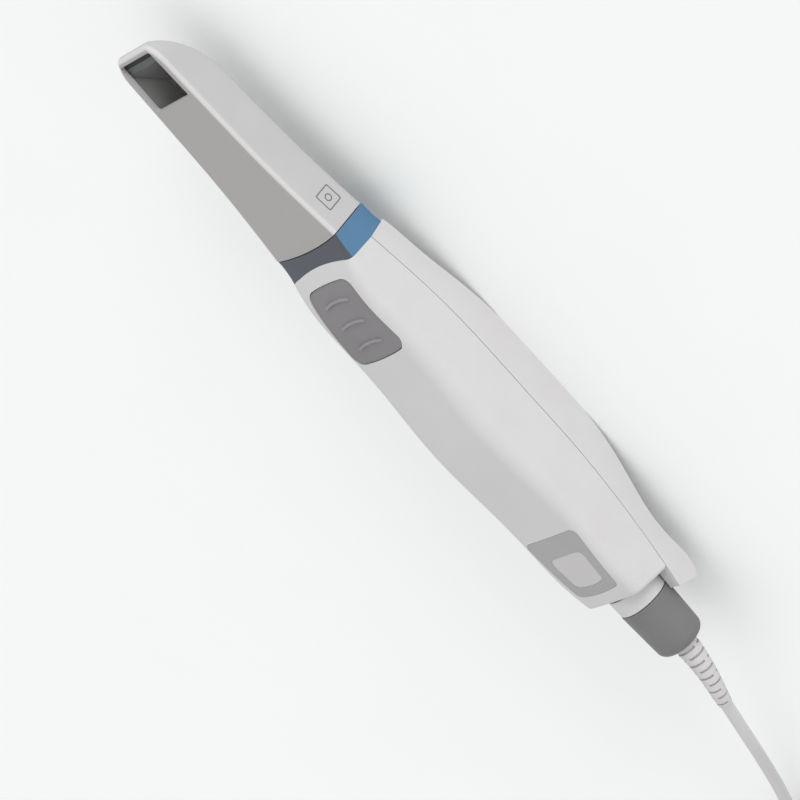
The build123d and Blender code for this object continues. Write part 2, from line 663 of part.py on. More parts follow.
# Aluminium chassis: a plate with an upright flange that the nose butts against
board_front, board_rear = along(-BOARD_REACH), along(-BOARD_REACH - BOARD_LENGTH)
board_screw_places = [(side * (BOARD_WIDTH / 2 - BOARD_SCREW_INSET_X), y) for side in (-1, 1)
                      for y in (board_front - BOARD_SCREW_INSET_Y, board_rear + BOARD_SCREW_INSET_Y)]
BOARD_Z = CHASSIS_TOP + BOARD_STANDOFF
BOARD_TOP = BOARD_Z + BOARD_THICKNESS
flange_face = Plane.XZ.offset(-along(-FLANGE_REACH))
holder_face = Plane.XZ.offset(-along(-FLANGE_REACH) + CHASSIS_THICKNESS)
with BuildPart() as chassis:
    with BuildSketch(Plane.XY.offset(CHASSIS_Z)) as plate:
        with BuildLine():
            half, tail_half = CHASSIS_HALF_WIDTH, SCREW_X + STANDOFF_RADIUS
            front_y, rear_y = along(-FLANGE_REACH), along(-CHASSIS_REACH)
            Polyline((-half, front_y), (half, front_y), (tail_half, rear_y), (-tail_half, rear_y),
                     close=True)
        make_face()
        fillet(plate.vertices().sort_by(Axis.Y)[:2], STANDOFF_RADIUS)
        with Locations(*SCREW_PLACES):
            Circle(SCREW_RADIUS + FIT_GAP, mode=Mode.SUBTRACT)
        with Locations((0, (board_front + board_rear) / 2)):
            with GridLocations(0, LIGHTENING_PITCH, 1, 4):
                SlotOverall(LIGHTENING_PITCH - 2 * STANDOFF_RADIUS, BOARD_WIDTH / 2, rotation=90,
                            mode=Mode.SUBTRACT)
    extrude(amount=CHASSIS_THICKNESS)
    with BuildSketch(flange_face):
        with Locations((0, CHASSIS_Z)):
            Rectangle(2 * CHASSIS_HALF_WIDTH, NOSE_TOP + NOSE_WALL - CHASSIS_Z,
                      align=(Align.CENTER, Align.MIN))
        with Locations((0, LENS_Z)):
            Rectangle(2 * (LENS_SPACING + CAMERA_LENS_RADIUS + FIT_GAP),
                      2 * (PROJECTOR_LENS_RADIUS + FIT_GAP), mode=Mode.SUBTRACT)
    extrude(amount=CHASSIS_THICKNESS)
    with BuildSketch(Plane.XY.offset(CHASSIS_TOP)):
        with Locations(*board_screw_places):
            Circle(STANDOFF_RADIUS)
    extrude(amount=BOARD_STANDOFF)
    with BuildSketch(Plane.XY.offset(BOARD_Z)):
        with Locations(*board_screw_places):
            Circle(SCREW_RADIUS + SCREW_FIT)
    extrude(amount=-BOARD_STANDOFF - CHASSIS_THICKNESS / 2, mode=Mode.SUBTRACT)
write(chassis, "chassis")

# Lens block behind the flange: two camera lenses beside the projector lens
with BuildPart() as lens_holder:
    with BuildSketch(Plane.XY.offset(CHASSIS_TOP)):
        with Locations((0, along(-FLANGE_REACH) - CHASSIS_THICKNESS)):
            Rectangle(2 * HOLDER_HALF_WIDTH, HOLDER_LENGTH, align=(Align.CENTER, Align.MAX))
    extrude(amount=BUTTON_BOARD_Z - CHASSIS_TOP)
    with BuildSketch(holder_face):
        with Locations((-LENS_SPACING, LENS_Z), (LENS_SPACING, LENS_Z)):
            Circle(CAMERA_LENS_RADIUS + SCREW_FIT)
        with Locations((0, LENS_Z)):
            Circle(PROJECTOR_LENS_RADIUS + SCREW_FIT)
    extrude(amount=HOLDER_LENGTH, mode=Mode.SUBTRACT)
    fillet(lens_holder.edges().filter_by(Axis.Y).group_by(Axis.Z)[-1], LENS_CHAMFER * 2)
write(lens_holder, "lens_holder")
for name, x, radius in (("camera_lens_left", -LENS_SPACING, CAMERA_LENS_RADIUS),
                        ("camera_lens_right", LENS_SPACING, CAMERA_LENS_RADIUS),
                        ("projector_lens", 0, PROJECTOR_LENS_RADIUS)):
    with BuildPart() as lens:
        with BuildSketch(holder_face.offset(HOLDER_LENGTH)):
            with Locations((x, LENS_Z)):
                Circle(radius)
        extrude(amount=-HOLDER_LENGTH - CHASSIS_THICKNESS - LENS_PROTRUSION)
        front_rim = lens.faces().sort_by(Axis.Y)[-1].edges()
        chamfer(front_rim, LENS_CHAMFER)
        with BuildSketch(holder_face.offset(-CHASSIS_THICKNESS - LENS_PROTRUSION)):
            with Locations((x, LENS_Z)):
                Circle(radius / 2)
        extrude(amount=LENS_CHAMFER, mode=Mode.SUBTRACT)
    write(lens, name)
board_face = holder_face.offset(HOLDER_LENGTH)
for name, side in (("camera_board_left", -1), ("camera_board_right", 1)):
    with BuildPart() as camera_board:
        with BuildSketch(board_face):
            with Locations((side * LENS_SPACING, CHASSIS_TOP)):
                Rectangle(CAMERA_BOARD_WIDTH, BUTTON_BOARD_Z - CHASSIS_TOP,
                          align=(Align.CENTER, Align.MIN))
        extrude(amount=CAMERA_BOARD_THICKNESS)
    write(camera_board, name)
with BuildPart() as projector:
    with BuildSketch(board_face):
        with Locations((0, CHASSIS_TOP)):
            Rectangle(PROJECTOR_WIDTH, BUTTON_BOARD_Z - CHASSIS_TOP, align=(Align.CENTER, Align.MIN))
    extrude(amount=PROJECTOR_LENGTH)
    chamfer(projector.edges().filter_by(Axis.Z).group_by(Axis.Y)[0], LENS_CHAMFER)
write(projector, "projector")
sink_bottom, sink_top = CHASSIS_TOP, BUTTON_BOARD_Z - BUTTON_BOARD_THICKNESS
with BuildPart() as light_board:
    with BuildSketch(board_face.offset(PROJECTOR_LENGTH)):
        with Locations((0, sink_bottom)):
            Rectangle(HEAT_SINK_WIDTH, sink_top - sink_bottom, align=(Align.CENTER, Align.MIN))
    extrude(amount=LIGHT_BOARD_THICKNESS)
write(light_board, "light_board")
with BuildPart() as heat_sink:
    with BuildSketch(board_face.offset(PROJECTOR_LENGTH + LIGHT_BOARD_THICKNESS)):
        with Locations((0, sink_bottom)):
            Rectangle(HEAT_SINK_WIDTH, sink_top - sink_bottom, align=(Align.CENTER, Align.MIN))
    extrude(amount=HEAT_SINK_BASE)
    fin_pitch = (HEAT_SINK_WIDTH - HEAT_SINK_FIN_THICKNESS) / (HEAT_SINK_FINS - 1)
    with BuildSketch(board_face.offset(PROJECTOR_LENGTH + LIGHT_BOARD_THICKNESS + HEAT_SINK_BASE)):
        with Locations((0, (sink_bottom + sink_top) / 2)):
            with GridLocations(fin_pitch, 0, HEAT_SINK_FINS, 1):
                Rectangle(HEAT_SINK_FIN_THICKNESS, sink_top - sink_bottom)
    extrude(amount=HEAT_SINK_FIN_LENGTH)
write(heat_sink, "heat_sink")

# Button panel: follows the body, with a hidden flange, a plunger and three bowed ridges
with BuildPart() as ridges:
    add(lowered(outer, BUTTON_SINK - RIDGE_HEIGHT))
    with BuildSketch(Plane.XY.offset(CHASSIS_Z)):
        for row in (-1, 0, 1):
            y = along(-BUTTON_REACH + row * RIDGE_PITCH)
            with BuildLine():
                ThreePointArc((-RIDGE_LENGTH / 2, y), (0, y + RIDGE_BOW), (RIDGE_LENGTH / 2, y))
                Line((RIDGE_LENGTH / 2, y), (RIDGE_LENGTH / 2, y - RIDGE_WIDTH))
                ThreePointArc((RIDGE_LENGTH / 2, y - RIDGE_WIDTH), (0, y + RIDGE_BOW - RIDGE_WIDTH),
                              (-RIDGE_LENGTH / 2, y - RIDGE_WIDTH))
                Line((-RIDGE_LENGTH / 2, y - RIDGE_WIDTH), (-RIDGE_LENGTH / 2, y))
            make_face()
    extrude(amount=BODY_HEIGHT, mode=Mode.INTERSECT)
    add(lowered(outer, BUTTON_SINK + RIDGE_HEIGHT), mode=Mode.SUBTRACT)
flange_top = WALL + BUTTON_FLANGE_DROP
with BuildPart() as button_flange:
    add(trapezoid(*button_outline, margin=BUTTON_FLANGE))
    add(lowered(outer, flange_top), mode=Mode.INTERSECT)
    add(lowered(outer, flange_top + BUTTON_FLANGE), mode=Mode.SUBTRACT)
SWITCH_TOP = BUTTON_BOARD_Z + BUTTON_BOARD_THICKNESS + SWITCH_HEIGHT + SWITCH_STEM_HEIGHT
with BuildPart() as button_panel:
    add(trapezoid(*button_outline, margin=-BUTTON_GAP))
    add(lowered(outer, BUTTON_SINK), mode=Mode.INTERSECT)
    add(lowered(outer, flange_top + BUTTON_FLANGE), mode=Mode.SUBTRACT)
    add(button_flange.part)
    add(ridges.part)
    with BuildSketch(Plane.XY.offset(SWITCH_TOP + BUTTON_TRAVEL + FIT_GAP)):
        with Locations((0, along(-BUTTON_REACH))):
            Circle(SWITCH_STEM_RADIUS)
    extrude(amount=body_size(BUTTON_REACH)[3] - SWITCH_TOP - BUTTON_TRAVEL - WALL)
write(button_panel, "button_panel")
with BuildPart() as button_board:
    with BuildSketch(Plane.XY.offset(BUTTON_BOARD_Z)) as outline:
        with Locations((0, along(-FLANGE_REACH) - CHASSIS_THICKNESS - FIT_GAP)):
            Rectangle(BUTTON_BOARD_WIDTH, BUTTON_BOARD_LENGTH, align=(Align.CENTER, Align.MAX))
        fillet(outline.vertices(), BOARD_ROUND)
    extrude(amount=BUTTON_BOARD_THICKNESS)
write(button_board, "button_board")
with BuildPart() as button_switch:
    with BuildSketch(Plane.XY.offset(BUTTON_BOARD_Z + BUTTON_BOARD_THICKNESS)):
        with Locations((0, along(-BUTTON_REACH))):
            Rectangle(SWITCH_SIZE, SWITCH_SIZE)
    extrude(amount=SWITCH_HEIGHT)
    with BuildSketch(Plane.XY.offset(BUTTON_BOARD_Z + BUTTON_BOARD_THICKNESS + SWITCH_HEIGHT)):
        with Locations((0, along(-BUTTON_REACH))):
            Circle(SWITCH_STEM_RADIUS)
    extrude(amount=SWITCH_STEM_HEIGHT)
write(button_switch, "button_switch")

# Main board on the chassis, with its sockets, shield and screws
with BuildPart() as main_board:
    with BuildSketch(Plane.XY.offset(BOARD_Z)) as outline:
        with Locations((0, board_front)):
            Rectangle(BOARD_WIDTH, BOARD_LENGTH, align=(Align.CENTER, Align.MAX))
        fillet(outline.vertices(), BOARD_ROUND)
        with Locations(*board_screw_places):
            Circle(SCREW_RADIUS + FIT_GAP, mode=Mode.SUBTRACT)
    extrude(amount=BOARD_THICKNESS)
write(main_board, "main_board")
for name, y, align in (("flex_socket", board_front, Align.MAX), ("lead_socket", board_rear, Align.MIN)):
    with BuildPart() as socket:
        with BuildSketch(Plane.XY.offset(BOARD_TOP)):
            with Locations((0, y)):
                Rectangle(SOCKET_WIDTH, SOCKET_LENGTH, align=(Align.CENTER, align))
        extrude(amount=SOCKET_HEIGHT)
    write(socket, name)
with BuildPart() as board_shield:
    with BuildSketch(Plane.XY.offset(BOARD_TOP)) as outline:
        with Locations((0, (board_front + board_rear) / 2)):
            Rectangle(SHIELD_WIDTH, SHIELD_LENGTH)
        fillet(outline.vertices(), BOARD_ROUND)
    extrude(amount=SHIELD_HEIGHT)
    offset(amount=-SHIELD_WALL, openings=board_shield.faces().sort_by(Axis.Z)[0])
write(board_shield, "board_shield")
with BuildPart() as board_screws:
    with BuildSketch(Plane.XY.offset(BOARD_TOP)):
        with Locations(*board_screw_places):
            Circle(SCREW_HEAD_RADIUS)
    extrude(amount=SCREW_HEAD_HEIGHT)
    with BuildSketch(Plane.XY.offset(BOARD_TOP)):
        with Locations(*board_screw_places):
            Circle(SCREW_RADIUS)
    extrude(amount=-BOARD_THICKNESS - BOARD_STANDOFF)
write(board_screws, "board_screws")
flex_start = (along(-FLANGE_REACH) - CHASSIS_THICKNESS - FIT_GAP - BUTTON_BOARD_LENGTH,
              BUTTON_BOARD_Z + BUTTON_BOARD_THICKNESS / 2)
flex_end = (board_front, BOARD_TOP + SOCKET_HEIGHT / 2)
with BuildPart() as flat_cable:
    with BuildSketch(Plane.YZ):
        with BuildLine():
            Polyline(flex_start, (flex_end[0] + FLEX_DROP, flex_start[1]),
                     (flex_end[0] + FLEX_DROP, flex_end[1]), flex_end)
        trace(line_width=FLEX_THICKNESS)
    extrude(amount=FLEX_WIDTH / 2, both=True)
write(flat_cable, "flat_cable")

# Label plate and its panel, bare
with BuildPart() as panel_recess:
    add(trapezoid(*panel_outline))
    add(lowered(outer, PANEL_DEPTH), mode=Mode.SUBTRACT)
with BuildPart() as label_plate:
    add(trapezoid(*label_outline, margin=-LABEL_GAP))
    add(outer, mode=Mode.INTERSECT)
    add(lowered(outer, LABEL_DEPTH - FILM_GAP), mode=Mode.SUBTRACT)
    add(panel_recess.part, mode=Mode.SUBTRACT)
write(label_plate, "label_plate")
with BuildPart() as label_panel:
    add(trapezoid(*panel_outline, margin=-LABEL_GAP / 2))
    add(lowered(outer, LABEL_GAP), mode=Mode.INTERSECT)
    add(lowered(outer, PANEL_DEPTH - FILM_GAP), mode=Mode.SUBTRACT)
write(label_panel, "label_panel")

# Neck, its nut and the socket in it
with BuildPart() as cable_neck:
    add(turned((WALL_REACH - SPIGOT_LENGTH, NECK_BORE_RADIUS), (WALL_REACH - SPIGOT_LENGTH, SPIGOT_RADIUS),
               (SEAT_REACH, SPIGOT_RADIUS), (SEAT_REACH, NECK_BASE_RADIUS),
               (FRONT_SHELL_REACH, NECK_BASE_RADIUS), (NECK_RIM_REACH, NECK_RIM_RADIUS),
               (NECK_RIM_REACH, NECK_BORE_RADIUS)))
write(cable_neck, "cable_neck")
with BuildPart() as neck_nut:
    with BuildSketch(Plane.XZ.offset(-along(-WALL_REACH))):
        with Locations((0, TAIL_AXIS_Z)):
            RegularPolygon(NUT_RADIUS, 6)
            Circle(SPIGOT_RADIUS + FIT_GAP, mode=Mode.SUBTRACT)
    extrude(amount=-NUT_LENGTH)
write(neck_nut, "neck_nut")
plug_nose_reach = NECK_RIM_REACH - PLUG_NOSE_LENGTH
with BuildPart() as neck_socket:
    add(turned((WALL_REACH - SPIGOT_LENGTH, 0), (WALL_REACH - SPIGOT_LENGTH, NECK_BORE_RADIUS - SCREW_FIT),
               (plug_nose_reach, NECK_BORE_RADIUS - SCREW_FIT), (plug_nose_reach, 0)))
write(neck_socket, "neck_socket")

# Cable connector: a core that plugs into the neck, in a dark sleeve
sleeve_start, sleeve_end = NECK_RIM_REACH + SLEEVE_GAP, TAIL_REACH
core_radius = SLEEVE_END_RADIUS - SLEEVE_WALL
core_end = sleeve_end - SLEEVE_END_WALL
with BuildPart() as connector_core:
    add(turned((plug_nose_reach, 0), (plug_nose_reach, NECK_BORE_RADIUS - FIT_GAP),
               (sleeve_start, NECK_BORE_RADIUS - FIT_GAP), (sleeve_start, core_radius - SCREW_FIT),
               (core_end, core_radius - SCREW_FIT), (core_end, 0)))
write(connector_core, "connector_core")
with BuildPart() as connector_sleeve:
    add(turned((sleeve_start, core_radius), (sleeve_start, SLEEVE_RADIUS), (sleeve_end, SLEEVE_END_RADIUS),
               (sleeve_end, RELIEF_RADIUS + SCREW_FIT), (core_end, RELIEF_RADIUS + SCREW_FIT),
               (core_end, core_radius)))
    outer_rims = connector_sleeve.edges().filter_by(GeomType.CIRCLE).filter_by(
        lambda edge: edge.radius > core_radius + FIT_GAP)
    start_rim, end_rim = outer_rims.sort_by(Axis.Y)[-1], outer_rims.sort_by(Axis.Y)[0]
    fillet(end_rim, SLEEVE_ROUND)
    fillet(start_rim, SLEEVE_START_ROUND)
write(connector_sleeve, "connector_sleeve")

# Lead inside the body, from the socket in the neck to the main board
lead_start = Vector(0, along(-WALL_REACH + SPIGOT_LENGTH), TAIL_AXIS_Z)
lead_end = Vector(0, board_rear, BOARD_TOP + SOCKET_HEIGHT / 2)
lead_reach = lead_end.Y - lead_start.Y
with BuildPart() as inner_lead:
    with BuildLine():
        route = FilletPolyline(lead_start, lead_start + Vector(0, LEAD_BEND_SHARE * lead_reach, 0),
                               lead_end - Vector(0, LEAD_BEND_SHARE * lead_reach, 0),
                               lead_end - Vector(0, LEAD_PLUG_LENGTH, 0), radius=1.5 * LEAD_DIAMETER)
    with BuildSketch(Plane(origin=route @ 0, z_dir=route % 0)):
        Circle(LEAD_DIAMETER / 2)
    sweep()
write(inner_lead, "inner_lead")
with BuildPart() as lead_plug:
    with BuildSketch(Plane.XZ.offset(-board_rear)):
        with Locations((0, lead_end.Z)):
            Rectangle(SOCKET_WIDTH - 2 * FIT_GAP, SOCKET_HEIGHT + 2 * FIT_GAP)
    extrude(amount=LEAD_PLUG_LENGTH)
write(lead_plug, "lead_plug")

# Cord route, from the end of the strain relief to the coil and on to the plug
COIL_CENTRE = (-41.9, -258.05)
cord_height = CORD_DIAMETER / 2
coil_low = TIE_THICKNESS + cord_height
coil_high = coil_low + (COIL_LAYERS - 1) * CORD_DIAMETER
ROUTE = [(-6.3, -156.35, 20.3), (-14.4, -171.15, 17.0), (-25.1, -187.35, 12.0), (-37.4, -206.25, 7.0),
         (-51.5, -224.75, 3.2), (-64.0, -242.25, coil_low)]
TAIL_ROUTE = [(-34.9, -284.35, coil_high), (-19.4, -280.15, 15.0), (-6.3, -270.95, 9.8),
              (2.4, -257.55, PLUG_BODY_HEIGHT / 2), (3.8, -241.65, PLUG_BODY_HEIGHT / 2)]


def cord_radii(points):
    """Radius of each corner: a share of its shorter run over the tangent of half the turn."""
    corners = [Vector(*point) for point in points]
    runs = [b - a for a, b in zip(corners, corners[1:])]
    return [ARC_SHARE * min(a.length, b.length) / tan(radians(a.get_angle(b)) / 2)
            for a, b in zip(runs, runs[1:])]


def cord_run(points, name):
    """Tube of the cord along straight runs joined by tangent arcs."""
    with BuildPart() as tube:
        with BuildLine():
            route = FilletPolyline(*points, radius=cord_radii(points))
        with BuildSketch(Plane(origin=route @ 0, z_dir=route % 0)):
            Circle(CORD_DIAMETER / 2)
        sweep()
    section = pi * CORD_DIAMETER ** 2 / 4
    print(f"{name} length {route.length:.1f}, volume share {tube.part.volume / section / route.length:.4f}")
    write(tube, name)
    return route.length


run_length = cord_run(ROUTE, "cord_run")
tail_length = cord_run(TAIL_ROUTE, "cord_tail")
turn_length = COIL_TURNS * pi * COIL_MEAN_DIAMETER
print(f"cord length {run_length + turn_length + tail_length:.0f}")
coil_section = (COIL_COLUMNS * CORD_DIAMETER, COIL_LAYERS * CORD_DIAMETER)
coil_axis = Axis((*COIL_CENTRE, 0), (0, 0, 1))
coil_plane = Plane(origin=(*COIL_CENTRE, TIE_THICKNESS + coil_section[1] / 2), x_dir=(1, 0, 0),
                   z_dir=(0, -1, 0))
with BuildPart() as cord_coil:
    with BuildSketch(coil_plane):
        with Locations((COIL_MEAN_DIAMETER / 2, 0)):
            RectangleRounded(*coil_section, COIL_ROUND)
    revolve(axis=coil_axis)
write(cord_coil, "cord_coil")
with BuildPart() as coil_tie:
    with BuildSketch(coil_plane):
        with Locations((COIL_MEAN_DIAMETER / 2, 0)):
            RectangleRounded(coil_section[0] + 2 * TIE_THICKNESS, coil_section[1] + 2 * TIE_THICKNESS,
                             COIL_ROUND + TIE_THICKNESS)
            RectangleRounded(coil_section[0] + FIT_GAP, coil_section[1] + FIT_GAP, COIL_ROUND,
                             mode=Mode.SUBTRACT)
    revolve(axis=coil_axis, revolution_arc=degrees(TIE_WIDTH / (COIL_MEAN_DIAMETER / 2)))
write(coil_tie, "coil_tie")

# Ribbed strain relief, bending from the tail axis into the cord's first run
relief_start = Vector(0, along(-core_end), TAIL_AXIS_Z)
relief_exit = Vector(0, along(-sleeve_end), TAIL_AXIS_Z)
relief_end = Vector(*ROUTE[0])
relief_heading = Vector(*ROUTE[1]) - relief_end
with BuildPart() as strain_relief:
    with BuildLine():
        bend = Spline(relief_exit, relief_end, tangents=((0, -1, 0), relief_heading.normalized()))
    with BuildSketch(Plane(origin=relief_start, z_dir=(0, -1, 0))):
        Circle(RELIEF_RADIUS)
    for place in RELIEF_STATIONS:
        with BuildSketch(Plane(origin=bend @ place, z_dir=bend % place)):
            Circle(RELIEF_RADIUS + (RELIEF_END_RADIUS - RELIEF_RADIUS) * place)
    loft()
    for rib in range(RELIEF_RIBS):
        place = (rib + RELIEF_FIRST_SLOT) / (RELIEF_RIBS + RELIEF_FIRST_SLOT / 2)
        radius = RELIEF_RADIUS + (RELIEF_END_RADIUS - RELIEF_RADIUS) * place
        with BuildSketch(Plane(origin=bend @ place, x_dir=(0, 0, 1), z_dir=bend % place)):
            Circle(2 * RELIEF_RADIUS)
            Circle(radius - RELIEF_SLOT_DEPTH, mode=Mode.SUBTRACT)
            Rectangle(RELIEF_WEB, 5 * RELIEF_RADIUS, rotation=90 * (rib % 2), mode=Mode.SUBTRACT)
        extrude(amount=RELIEF_SLOT / 2, both=True, mode=Mode.SUBTRACT)
write(strain_relief, "strain_relief")

# Computer plug lying beside the coil
plug_heading = Vector(*TAIL_ROUTE[-1]) - Vector(*TAIL_ROUTE[-2])
plug_heading = Vector(plug_heading.X, plug_heading.Y, 0).normalized()
plug_plane = Plane(origin=TAIL_ROUTE[-1], x_dir=(plug_heading.Y, -plug_heading.X, 0), z_dir=plug_heading)
with BuildPart() as plug_relief:
    with BuildSketch(plug_plane):
        Circle(PLUG_RELIEF_RADIUS - PLUG_RELIEF_TAPER)
    with BuildSketch(plug_plane.offset(PLUG_RELIEF_LENGTH)):
        Circle(PLUG_RELIEF_RADIUS)
    loft()
write(plug_relief, "plug_relief")
with BuildPart() as plug_body:
    with BuildSketch(plug_plane.offset(PLUG_RELIEF_LENGTH)):
        RectangleRounded(PLUG_BODY_WIDTH, PLUG_BODY_HEIGHT, PLUG_ROUND)
    extrude(amount=PLUG_BODY_LENGTH)
    ends = plug_body.faces().filter_by(GeomType.PLANE).sort_by(Axis(TAIL_ROUTE[-1], plug_heading))
    fillet([*ends[0].edges(), *ends[-1].edges()], PLUG_ROUND / 2)
write(plug_body, "plug_body")
shell_plane = plug_plane.offset(PLUG_RELIEF_LENGTH + PLUG_BODY_LENGTH)
with BuildPart() as plug_shell:
    with BuildSketch(shell_plane):
        RectangleRounded(PLUG_SHELL_WIDTH, PLUG_SHELL_HEIGHT, PLUG_SHELL_WALL)
        Rectangle(PLUG_SHELL_WIDTH - 2 * PLUG_SHELL_WALL, PLUG_SHELL_HEIGHT - 2 * PLUG_SHELL_WALL,
                  mode=Mode.SUBTRACT)
    extrude(amount=PLUG_SHELL_LENGTH)
write(plug_shell, "plug_shell")
with BuildPart() as plug_tongue:
    with BuildSketch(shell_plane):
        with Locations((0, PLUG_SHELL_HEIGHT / 2 - PLUG_SHELL_WALL - PLUG_TONGUE_THICKNESS / 2)):
            Rectangle(PLUG_SHELL_WIDTH - 2 * PLUG_SHELL_WALL - FIT_GAP, PLUG_TONGUE_THICKNESS)
    extrude(amount=PLUG_SHELL_LENGTH - PLUG_TONGUE_INSET)
write(plug_tongue, "plug_tongue")
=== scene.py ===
"""Looks of an intraoral scanner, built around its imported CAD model.

The scanner lies on its back on a pale floor. The CAD nodes keep their shapes and get procedural
materials here. The cord, the marking on the tip and the small dressing pieces are made here.
All lengths are in metres in the frame of the CAD model unless a name ends in _mm.
"""

import json
import logging
import math
from collections.abc import Callable
from dataclasses import dataclass
from enum import Enum, auto

import bpy
import numpy as np
from mathutils import Matrix, Vector
from mathutils.bvhtree import BVHTree


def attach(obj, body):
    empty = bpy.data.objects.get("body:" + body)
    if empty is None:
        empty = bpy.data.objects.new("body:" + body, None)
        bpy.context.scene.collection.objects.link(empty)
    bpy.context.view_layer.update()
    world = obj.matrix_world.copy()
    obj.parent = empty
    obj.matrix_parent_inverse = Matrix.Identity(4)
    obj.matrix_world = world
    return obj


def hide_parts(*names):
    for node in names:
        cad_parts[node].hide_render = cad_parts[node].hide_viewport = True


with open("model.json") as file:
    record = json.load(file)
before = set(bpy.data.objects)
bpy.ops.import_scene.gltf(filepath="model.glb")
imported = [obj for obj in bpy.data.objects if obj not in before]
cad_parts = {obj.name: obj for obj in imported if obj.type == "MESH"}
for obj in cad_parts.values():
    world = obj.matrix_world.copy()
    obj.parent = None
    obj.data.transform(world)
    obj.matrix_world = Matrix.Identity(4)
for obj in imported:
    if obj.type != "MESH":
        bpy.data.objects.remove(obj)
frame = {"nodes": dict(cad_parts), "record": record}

log = logging.getLogger("scanner")

MM = 0.001
COLLAR_Y_MM = 43.85

# The photograph's camera, in metres, with its axes in the frame of the model
CAMERA_PLACE = (1.146626, 0.340864, 0.804983)
CAMERA_RIGHT = (0.54589, -0.65842, -0.51816)
CAMERA_UP = (0.22892, 0.71211, -0.66369)
CAMERA_LENS_MM = 205.97
CAMERA_SENSOR_MM = 36.0

# Values between which nearly all of a noise texture lies
NOISE_RANGE = (0.3, 0.7)
# Gloss patches are this many times smaller than colour patches, and more broken up
GLOSS_FINENESS = 5
GLOSS_DETAIL = 4.0
PATTERN_DETAIL = 3.0
COAT_ROUGHNESS = 0.12
# Heights of the unit normal over which the painted highlight on an edge and the painted shade on a front set
# in
HIGHLIGHT_EDGE_RISE = (0.2, 0.6)
SHADED_FRONT_RISE = (0.86, 0.995)
# Scales that draw noise out into lines: along Y for brushing, along Z for tool marks
BRUSHED_STRETCH = (1, 0.02, 1)
TURNED_STRETCH = (1, 1, 0.05)
# Size of one wave, and of one row of bricks, where the texture's scale is one
WAVE_PERIOD = math.pi / 10
BRICK_ROW = 0.25
# Width of the gap between tracks, and the heights of a track, of the next one and of the gap as greys
TRACE_GAP = 0.12
TRACE_TONES = ((1.0, 1.0, 1.0, 1.0), (0.8, 0.8, 0.8, 1.0), (0.0, 0.0, 0.0, 1.0))
# How far the threads of a weave wander
WEAVE_DISTORTION = 0.6

Vec3 = tuple[float, float, float]
# Tells from the middles, in millimetres, and normals of a node's faces which ones are chosen
Chooser = Callable[[np.ndarray, np.ndarray], np.ndarray]


def linear(code: str) -> tuple[float, float, float, float]:
    """Turn an sRGB hex colour into linear light.

    The curve is that of the standard: a straight line for the darkest tones, then a power.

    Args:
        code: Six hex digits.

    Returns:
        Red, green, blue and an alpha of one.
    """
    parts = (int(code[i:i + 2], 16) / 255 for i in (0, 2, 4))
    red, green, blue = (c / 12.92 if c <= 0.04045 else ((c + 0.055) / 1.055) ** 2.4 for c in parts)
    return red, green, blue, 1.0


class Pattern(Enum):
    """Relief that lies over a plain surface."""

    PLAIN = auto()
    BRUSHED = auto()
    TURNED = auto()
    TRACES = auto()
    LANES = auto()
    WEAVE = auto()


@dataclass(frozen=True)
class Finish:
    """Surface of one material slot.

    Attributes:
        colour: Main sRGB hex colour.
        second: Colour that the mottling leans towards.
        roughness: Mean roughness.
        unevenness: How far the roughness strays from its mean.
        grain_mm: Size of the fine grain.
        grain_depth_mm: Depth of the fine grain.
        mottle_mm: Size of the colour and gloss patches.
        metallic: One for bare metal.
        coat: Weight of a clear coat.
        ior: Index of refraction.
        transmission: One for clear glass.
        front: Painted shade: a darker colour for the flat faces that look out of the front, where it
            differs.
        edge: Painted highlight: a lighter colour for the rounded edges round such a front.
        pattern: Relief that lies over the plain surface.
        pattern_mm: Pitch of that pattern.
        pattern_depth_mm: Depth of that pattern.
    """

    colour: str
    second: str
    roughness: float
    unevenness: float = 0.05
    grain_mm: float = 0.35
    grain_depth_mm: float = 0.004
    mottle_mm: float = 14.0
    metallic: float = 0.0
    coat: float = 0.0
    ior: float = 1.47
    transmission: float = 0.0
    # Colours of painted shade on a flat front and of a painted highlight on its edges, laid by facing
    front: str = ""
    edge: str = ""
    pattern: Pattern = Pattern.PLAIN
    pattern_mm: float = 1.0
    pattern_depth_mm: float = 0.02


